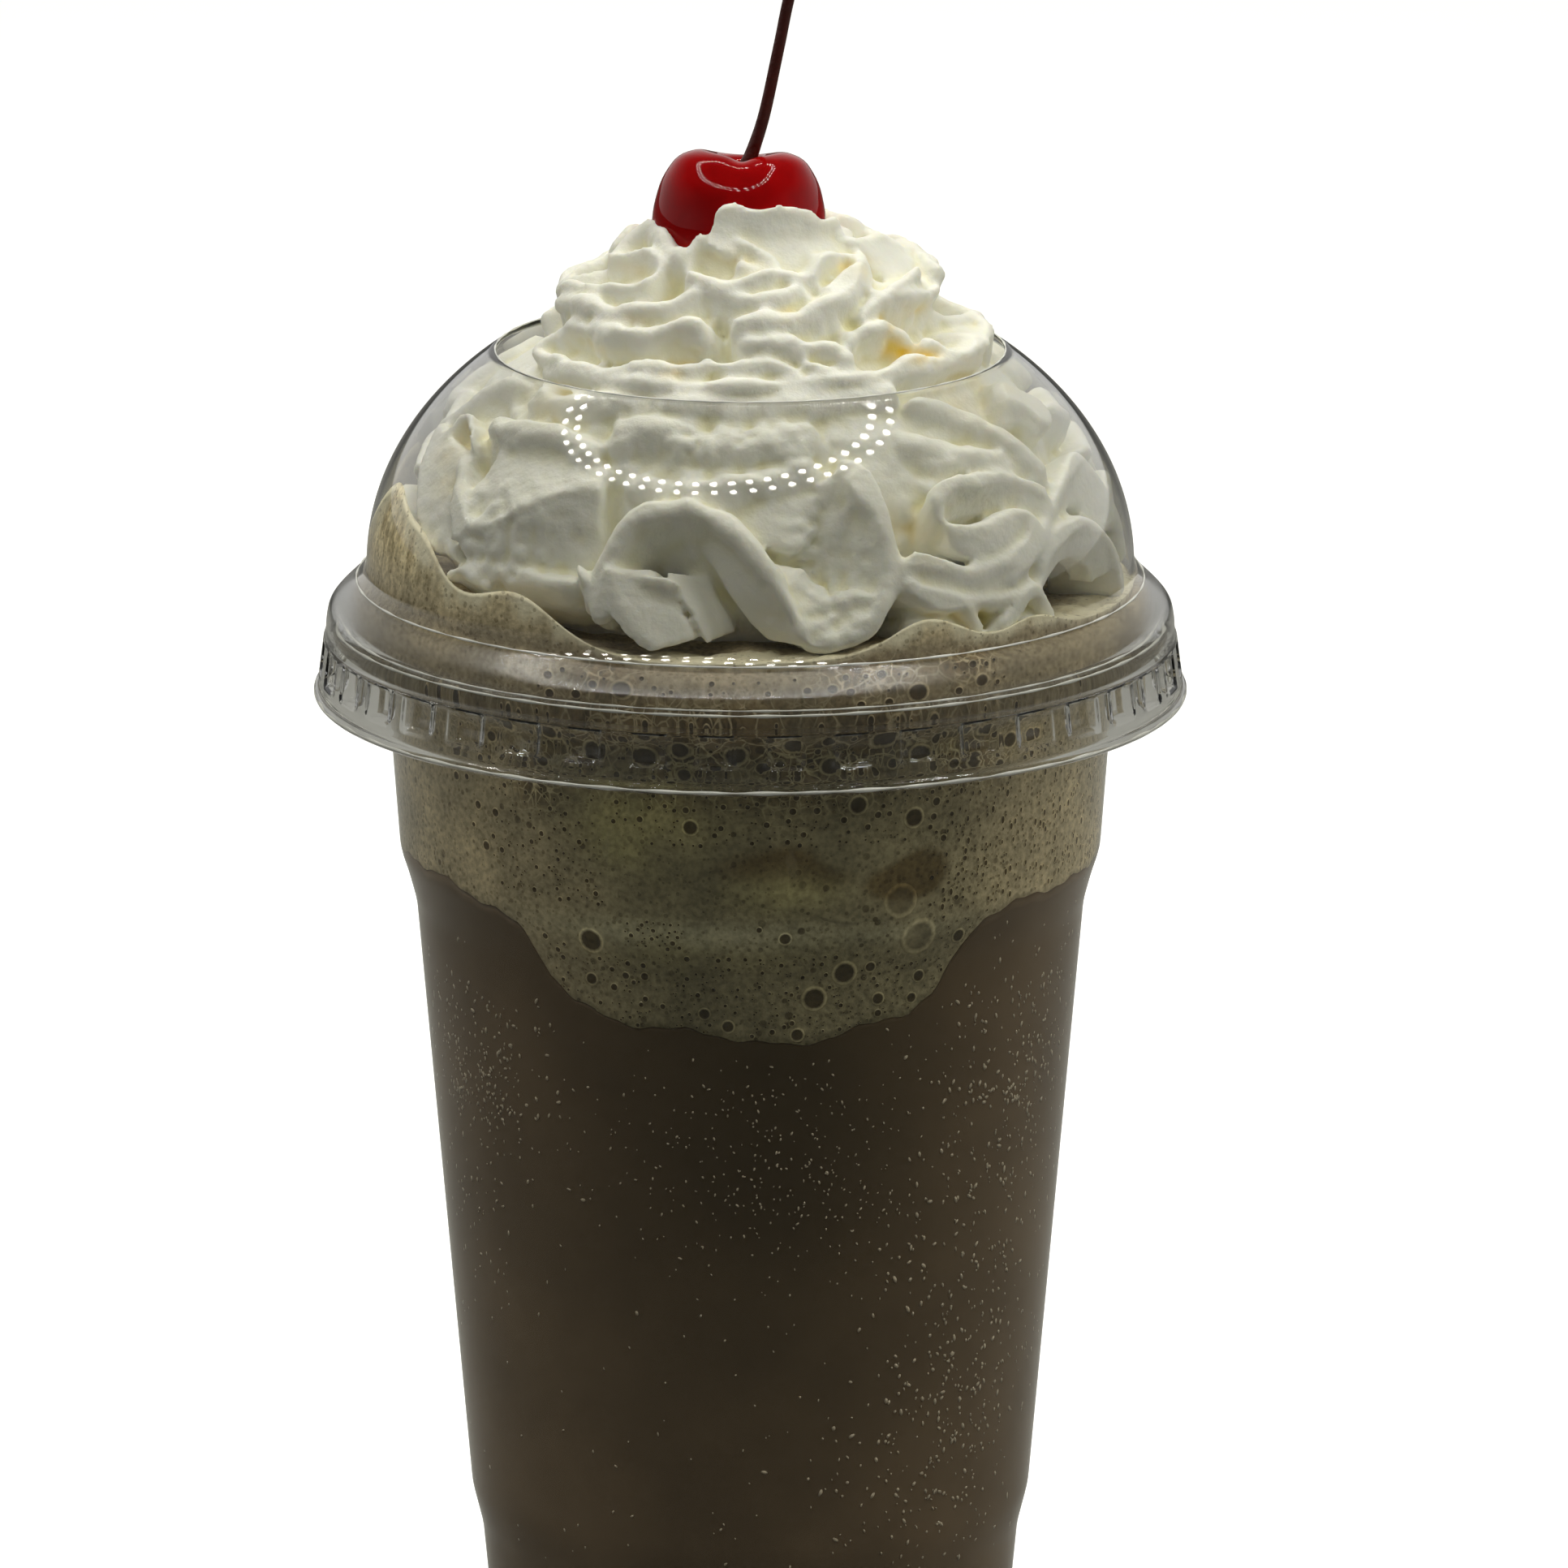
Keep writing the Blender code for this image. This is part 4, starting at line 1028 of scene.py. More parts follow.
def cream_spot(azimuth, height):
    """A point on the cream's outside and the direction out of it, in millimetres."""
    low = cream_outside(azimuth, height - 0.8)
    high = cream_outside(azimuth, height + 0.8)
    steep = np.array([1.6, low - high])
    steep = steep / np.linalg.norm(steep)
    angle = math.radians(azimuth)
    side = np.array([math.sin(angle), -math.cos(angle), 0.0])
    point = side * cream_outside(azimuth, height) + np.array([0.0, 0.0, height])
    return point, side * steep[0] + np.array([0.0, 0.0, steep[1]])


def smooth_way(points, step):
    """A smooth way through points of any number of values."""
    points = [np.array(point, float) for point in points]
    ends = [points[0], *points, points[-1]]
    way = []
    for a, b, c, d in zip(ends, ends[1:], ends[2:], ends[3:]):
        run = np.hypot((c[0] - b[0]) * 0.6, c[1] - b[1])
        count = max(1, round(run / step))
        for part in range(count):
            t = part / count
            way.append(0.5 * (2 * b + (c - a) * t + (2 * a - 5 * b + 4 * c - d) * t * t
                              + (3 * b - a - 3 * c + d) * t ** 3))
    way.append(points[-1])
    return way


class Dough:
    """Closed lumps of cream that are gathered into one mesh before they are fused."""

    def __init__(self):
        self.points = []
        self.faces = []

    def add(self, rings, first, last):
        """Add a closed lump of rings."""
        sides = len(rings[0])
        start = len(self.points)
        for ring in rings:
            self.points.extend(ring)
        self.faces += ring_faces(len(rings), sides, start)
        self.points += [first, last]
        tip = start + len(rings) * sides
        self.faces += cap_faces(tip, start, sides, True)
        self.faces += cap_faces(tip + 1, tip - sides, sides, False)


def head_section(thickness, depth, spread):
    """Section of a strand: a head that is round on a ribbon and narrow on a wide fold, and
    sides that spread towards its foot."""
    half = 0.5 * thickness
    head = half if spread < 1.15 else 0.55 * half
    corners = [(-head + head * math.cos(a), head * math.sin(a))
               for a in np.radians(np.linspace(-95.0, 95.0, 9))]
    middle = (0.4 + 0.6 * spread) * half
    upper = 0.5 * (head + middle) + 0.1 * half
    return [*corners, (-0.28 * depth, upper), (-0.55 * depth, middle), (-depth, spread * half),
            (-depth, -spread * half), (-0.55 * depth, -middle), (-0.28 * depth, -upper)]


def strand(dough, thickness, depth, setback, lean, spread, points, seed):
    """A ribbon of cream on edge, whose head follows a way of (azimuth, height). It is set
    back from the cream's outside, and its head leans up by lean degrees."""
    way = smooth_way(points, 0.9)
    draw = np.random.default_rng(seed)
    phases = draw.uniform(0.0, 6.3, 3)
    spots = [cream_spot(azimuth, height) for azimuth, height in way]
    rings = []
    for order, (point, out) in enumerate(spots):
        before = spots[max(0, order - 1)][0]
        after = spots[min(len(spots) - 1, order + 1)][0]
        along = (after - before) / np.linalg.norm(after - before)
        across = np.cross(along, out)
        across /= np.linalg.norm(across)
        tip = min(order, len(spots) - 1 - order)
        taper = min(1.0, 0.45 + 0.28 * tip)
        wave = 1.0 + 0.12 * math.sin(0.55 * order + phases[0]) + 0.07 * math.sin(1.3 * order + phases[1])
        up = np.array([0.0, 0.0, math.tan(math.radians(lean))])
        head = 0.6 * out + up if lean > 40.0 else out + up
        head /= np.linalg.norm(head)
        sink = setback + 0.35 * math.sin(0.4 * order + phases[2]) + (1.0 - taper) * 2.0
        corners = [point + head * (deep - sink) + across * wide * wave
                   for deep, wide in head_section(thickness * taper, depth, spread)]
        rings.append(corners)
    first = np.mean(rings[0], axis=0)
    last = np.mean(rings[-1], axis=0)
    dough.add(rings, first, last)


def evenly_spaced(points, count):
    """Points at even steps along a way."""
    way = np.array(smooth_way(points, 0.5))
    steps = np.hypot(np.diff(way[:, 0]) * 0.6, np.diff(way[:, 1]))
    run = np.concatenate([[0.0], np.cumsum(steps)])
    spots = np.linspace(0.0, run[-1], count)
    return np.stack([np.interp(spots, run, way[:, axis]) for axis in range(way.shape[1])], axis=1)


def web(dough, thickness, first_edge, second_edge):
    """A slab of cream between two edges of (azimuth, height, setback from the outside)."""
    count = 2 + len(smooth_way(first_edge, 0.8))
    rings = []
    for one, other in zip(evenly_spaced(first_edge, count), evenly_spaced(second_edge, count)):
        front = []
        rear = []
        for share in np.linspace(0.0, 1.0, WEB_ROWS):
            azimuth, height, back = one + share * (other - one)
            point, out = cream_spot(azimuth, height)
            front.append(point - out * back)
            rear.append(point - out * (back + thickness))
        rings.append([*front, *rear[::-1]])
    dough.add(rings, np.mean(rings[0], axis=0), np.mean(rings[-1], axis=0))


# Strands of the crown: thickness, depth, setback, lean, spread, then (azimuth, height)
CROWN = (
    # petal before the cherry
    (2, 5, 0.2, 62, 1, ((-17, 192.4), (-19.5, 194.5), (-15.5, 195.4), (-8.5, 195.3), (0.5, 195),
     (12.5, 195), (25, 195.1), (34, 194.7), (40, 193.7), (48, 193.3), (57, 193.2), (60, 191.9),
     (55, 190.9))),
    # petal before the cherry, left edge
    (2.6, 5, -0.8, 10, 1, ((-14, 194.4), (-15, 193.2), (-18, 191.4))),
    # petal at the left of the cherry
    (2.6, 6, 0.4, 55, 1.1, ((-72, 188), (-82, 189), (-86, 190.6), (-82, 191.8), (-72, 192.4),
     (-60, 192), (-48, 191.2), (-38, 190.7), (-33, 191.2))),
    # left bowl, rear lip
    (2.2, 6, 0.3, 45, 1.2, ((-99, 183.5), (-93, 185), (-84, 186.7), (-75, 188.4), (-62, 189.7),
     (-54, 190.1), (-44, 189.7), (-40, 188.9))),
    # left bowl, front lip
    (2.6, 8, -0.2, 30, 1.4, ((-40, 188.9), (-41, 187.8), (-46, 186.6), (-58, 185.7), (-74, 185.1),
     (-87, 184), (-91, 182.7))),
    # front bowl, rear lip
    (2.2, 6, 0.3, 50, 1.2, ((-29, 189.4), (-30, 190.6), (-29.5, 191.9), (-19.5, 192), (-8.5, 191.9),
     (2, 191.4), (9.5, 190.6), (13, 189.6))),
    # front bowl, front lip
    (2.6, 8, -0.2, 30, 1.4, ((13, 189.6), (10.5, 188.8), (3.5, 188.4), (-6, 187.9), (-13.5, 187.8),
     (-21, 188.1), (-27.5, 188.8))),
    # fold under the petal
    (3.6, 7, 0.5, 20, 1.5, ((-7, 190), (2, 189.7), (12, 189), (19.5, 188.5), (26, 189.2), (35, 191))),
    # small right lobe
    (2.4, 7, 0, 35, 1.3, ((23, 187.7), (28.5, 189.1), (36.5, 190), (47, 190), (52, 189.3), (47, 188.5),
     (39, 188.3), (32, 187.5), (26, 186.6))),
    # right lobe, outer lip
    (3, 8, 0, 40, 1.3, ((56, 190.5), (73, 190.5), (97, 189), (104, 187.4), (100, 185.5), (89, 184.3),
     (73, 183.8))),
    # right lobe, inner lip
    (2.4, 8, 0.1, 25, 1.3, ((58, 190.3), (52, 188.6), (46, 187), (46, 185.7), (53, 186.1), (63, 186.9),
     (75, 187.4))),
    # right lobe, body
    (6.5, 9, 2, 20, 1.3, ((46, 188.2), (55, 188), (66, 187.4), (78, 186.6), (88, 186))),
    # right lobe, low contact
    (4, 9, 1.6, 20, 1.3, ((42, 186.2), (50, 186), (60, 185.6), (72, 185))),
    # ridge A
    (4.4, 8, 0, 22, 1.5, ((-77, 181.4), (-80, 182.6), (-72, 184), (-58, 184.2), (-46, 184.2),
     (-35.5, 184.9), (-27.5, 185.6), (-21, 186.7), (-17, 187.4))),
    # ridge B
    (4, 8, 0, 22, 1.5, ((-17.5, 187.4), (-10, 187.4), (-2.5, 186.7), (4, 186.4), (10.5, 186.7),
     (18, 187.4), (21.5, 186.7))),
    # ridge C
    (4.6, 9, -0.3, 22, 1.5, ((-6, 183.4), (0, 184.2), (8, 184.2), (15, 184.5), (22.5, 185.1),
     (31, 186.1), (39.5, 187.2), (47, 188.3))),
    # ridge D
    (3.4, 8, 0, 20, 1.4, ((35, 183.9), (42, 184.7), (50, 185.4), (59, 185.2), (67, 184.5),
     (73, 183.6))),
    # ridge E
    (4.2, 9, 0, 24, 1.5, ((-70, 179.4), (-63, 180.8), (-54, 181.7), (-44, 182), (-32.5, 182.3),
     (-25.5, 183.1), (-19.5, 183.8), (-14.5, 183.4), (-13, 182.4))),
    # tongue
    (4, 9, -0.2, 10, 1.2, ((-4.5, 183.5), (-3, 182.5), (2.5, 182), (9, 182), (14.5, 181.5),
     (19.5, 181.4), (24.5, 180.9), (26, 179.9), (23.5, 179.2))),
    # tongue edge
    (2.6, 8, 0, 5, 1.2, ((24, 179.2), (20, 179.1), (16.5, 179.6), (14, 180.4))),
    # lobe over the orange pocket
    (3.6, 9, -0.2, 20, 1.4, ((28, 181.5), (31.5, 182.4), (38, 182.5), (44, 182.3), (48, 181.4),
     (51, 180.3))),
    # far right lobe, upper
    (3, 8, 0, 30, 1.3, ((71, 182.8), (81, 181.2), (103, 178.9), (105, 177.6), (88, 177.8))),
    # far right lobe, lower
    (3, 8, 0, 10, 1.3, ((88, 177.8), (71, 178.1), (61, 178.6), (56, 179.9), (51, 180.3))),
    # shelf
    (2.6, 9, 0, 20, 1.3, ((30, 178.8), (33.5, 178.4), (38.5, 178.6), (44, 179.1), (50, 178.7),
     (56, 178), (64, 177.6))),
    # left low fold
    (2.6, 8, 0, 15, 1.3, ((-64, 181), (-70, 179.8), (-72, 178.4), (-71, 177.7), (-63, 177.9),
     (-54, 178.7))),
    # long low fold
    (3.4, 8, 0.2, 20, 1.5, ((-63, 177.2), (-52, 177.9), (-41, 178.3), (-32, 179.2), (-23, 179.3),
     (-15.5, 179.7), (-9.5, 180.5))),
    # low fold 2
    (3.2, 8, 0.3, 20, 1.5, ((-13.5, 181.1), (-9.5, 180.2), (-3, 179.9), (4.5, 180.1), (10.5, 179.5),
     (15, 178.7))),
    # rim fold
    (3.4, 8, 0.2, 5, 1.3, ((-64, 176.6), (-49, 177), (-34.5, 177.4), (-18, 177.7), (-1, 177.9),
     (14.5, 178.1), (27, 178.2), (41, 178), (57, 177.4), (74, 176.7))),
)

# Strands inside the dome
FOLDS = (
    # arch rim
    (2.6, 7, 0.1, 0, 1, ((-23, 152.1), (-23.5, 155.1), (-23.5, 158.5), (-22, 161.6), (-19.5, 164.3),
     (-14.5, 165.7), (-9, 165.7), (-4, 164.3), (-0.5, 162), (2.5, 159.1))),
    # arch limb edge
    (2.2, 6, 0.2, 10, 1, ((0.5, 161.3), (3.5, 158.4), (5.5, 155.4), (8, 152.1), (9.5, 150.2))),
    # lit ridge on the leg
    (2, 7, 0.8, 45, 1.2, ((-19.5, 159.5), (-16.5, 159.1), (-13.5, 159), (-11, 159.3))),
    # small tips
    (1.8, 7, 0.4, 20, 1.3, ((-28, 159.3), (-26, 157.2), (-24.5, 154.8), (-23, 153.1))),
    # lobe rim
    (2.6, 9, 0, 0, 1, ((17.5, 170.9), (20, 169), (21.5, 166.5), (22, 163.4), (22.5, 159.7),
     (21.5, 156.1), (19, 153.3), (15.5, 151.4), (11.5, 150.3), (8, 149.8))),
    # lobe contact
    (4.6, 8, -0.6, 0, 1, ((18.5, 169.3), (20, 167), (20.5, 164.7))),
    # upper mass
    (12, 9, 1, 0, 1.2, ((-31, 172.7), (-22.5, 173.9), (-12, 173.4), (-2.5, 173.2), (7.5, 173.6),
     (15, 174.5))),
    # upper mass, low edge
    (8, 9, 1.8, 20, 1.3, ((-24, 169.4), (-16.5, 168.9), (-9, 168.7), (-1.5, 169.2), (6, 170.4),
     (13, 171.4))),
    # upper mass, top
    (7, 9, 0.4, 20, 1.2, ((-57, 174.9), (-42, 175.2), (-26.5, 176), (-9.5, 176.2), (6.5, 176.2),
     (23, 176.5), (37.5, 176.4))),
    # left block, upper
    (6, 9, 0, 20, 1.2, ((-61, 171), (-49, 171.5), (-38.5, 171.8), (-31, 170.2))),
    # left block, foot
    (4, 8, 1.4, 20, 1.3, ((-54, 155.4), (-48, 157.2), (-40, 157.2), (-33, 156.8), (-27.5, 157))),
    # left block, edge
    (2.2, 9, 0, 0, 1.1, ((-62, 168), (-58, 165.1), (-54, 161.8), (-51, 158.9))),
    # left leaf 1
    (1.6, 8, 0, 10, 1.3, ((-74, 166.9), (-72, 168.7), (-72, 170.4), (-70, 171), (-63, 169.8),
     (-59, 168.1))),
    # left leaf 2
    (1.6, 8, 0.4, 20, 1.3, ((-76, 164.5), (-71, 166.8), (-65, 168))),
    # left low tips
    (2.2, 7, 0.2, 10, 1.2, ((-54, 154.3), (-51, 155.8), (-47, 155.2), (-45, 154.3))),
    # far left mass
    (5, 8, 0.6, 20, 1.3, ((-84, 167.9), (-77, 171.7), (-71, 174.4), (-64, 175.7))),
    # bowl rim
    (2, 8, 0, 25, 1.1, ((33, 163.3), (33, 165.6), (36.5, 166.8), (43, 167), (49, 166.6), (53, 165.5),
     (57, 163.3), (57, 162.1))),
    # s lip
    (2, 8, -0.1, 15, 1.1, ((33, 163.3), (35.5, 162), (40, 161.8), (44, 162.4), (49, 162.5), (51, 161),
     (49, 159.2), (44, 157.7), (36.5, 157.4), (30, 158.6), (26.5, 159.4), (23.5, 158.2))),
    # bowl wall
    (2, 9, 0.1, 0, 1.1, ((57, 162.1), (53, 159.8), (49, 157.8), (45, 156.3), (42, 154.6))),
    # low lip
    (2, 8, 0, 15, 1.1, ((23.5, 158.2), (25.5, 156.2), (30, 154.8), (36.5, 153.9), (43, 153.5),
     (48, 153.7))),
    # leaf 1
    (1.8, 9, 0, 0, 1.1, ((25.5, 154.8), (30, 153.8), (34, 153.6), (36, 151.3), (38.5, 148.7))),
    # leaf 2
    (1.8, 9, 0, 0, 1.1, ((39, 148.7), (42, 150.6), (45, 152.7), (48, 153.8), (51, 151.1), (54, 148.8))),
    # leaf 3
    (1.8, 9, 0.2, 0, 1.1, ((50, 149.4), (54, 148.3), (61, 147), (64, 147.3))),
    # leaf faces
    (6, 8, 1.2, 0, 1.2, ((25, 152.2), (30, 150.8), (35, 149.3))),
    # leaf faces 2
    (5, 8, 1.6, 0, 1.2, ((43, 149.8), (47, 150.2), (51, 148.2))),
    # leaf base
    (3, 8, 0.6, 0, 1.2, ((24, 150.3), (30.5, 149.1), (38.5, 148.1), (48, 147.5), (60, 146.7))),
    # petal 1
    (2, 9, 0, 0, 1.1, ((56, 160.7), (62, 163.5), (72, 165.4), (77, 163.7), (80, 160.3), (80, 156.1),
     (80, 151.1))),
    # petal 2
    (2.2, 9, -0.1, 0, 1.1, ((50, 154.5), (53, 157.5), (58, 159.1), (65, 159.1), (71, 156.7),
     (75, 152.1), (79, 147.5))),
    # right mass
    (8, 9, 0.8, 15, 1.3, ((32, 173.4), (36, 171.5), (42, 170.2), (50, 168.7), (55, 166.8))),
    # right mass, upper
    (6, 9, 0.2, 20, 1.2, ((38, 175.4), (47, 174), (52, 171.9), (57, 168.8), (61, 164.7))),
    # right contact
    (6.4, 8, -0.7, 0, 1.1, ((65, 174.2), (71, 172), (74, 169.4))),
    # right ridge
    (2, 8, -0.2, 10, 1.2, ((50, 173.9), (52, 172.3), (53, 170.5), (54, 168.9))),
    # dark mass
    (7, 8, 3.4, 0, 1.3, ((28, 170.4), (29.5, 167.9), (29.5, 164.9))),
    # yellow face
    (7, 6, 5.4, 0, 1.3, ((26.5, 162.9), (30.5, 163.5))),
)

# Folds at the two sides, between the front and the back
SIDE_FOLDS = (
    # right arch
    (2.2, 9, 0.4, 0, 1.1, ((84, 151.6), (86, 157.2), (90, 160.4), (95, 159.6), (97.5, 155.6),
     (96, 151.2))),
    # right upper folds
    (4, 8, 0.4, 12, 1.2, ((79, 171.2), (87, 168.8), (96, 168.2), (105, 170.4))),
    (3, 8, 0.4, 10, 1.2, ((81, 165.6), (89, 164.4), (97, 163.6), (106, 165.8))),
    # right leaf
    (2.4, 8, 0.4, 0, 1.1, ((82, 149.6), (90, 148.6), (98, 148.2), (106, 149.4))),
    # left upper folds
    (3.6, 8, 1.8, 12, 1.2, ((-78, 170.2), (-88, 168), (-97, 168.8), (-106, 171))),
    (2.8, 8, 1.8, 10, 1.2, ((-82, 164.6), (-90, 163), (-98, 163.6), (-106, 165.4))),
    # left arch
    (2.4, 9, 1.8, 0, 1.1, ((-99, 151.8), (-97, 156.8), (-92, 159.2), (-86, 157.4), (-83, 152.6))),
)

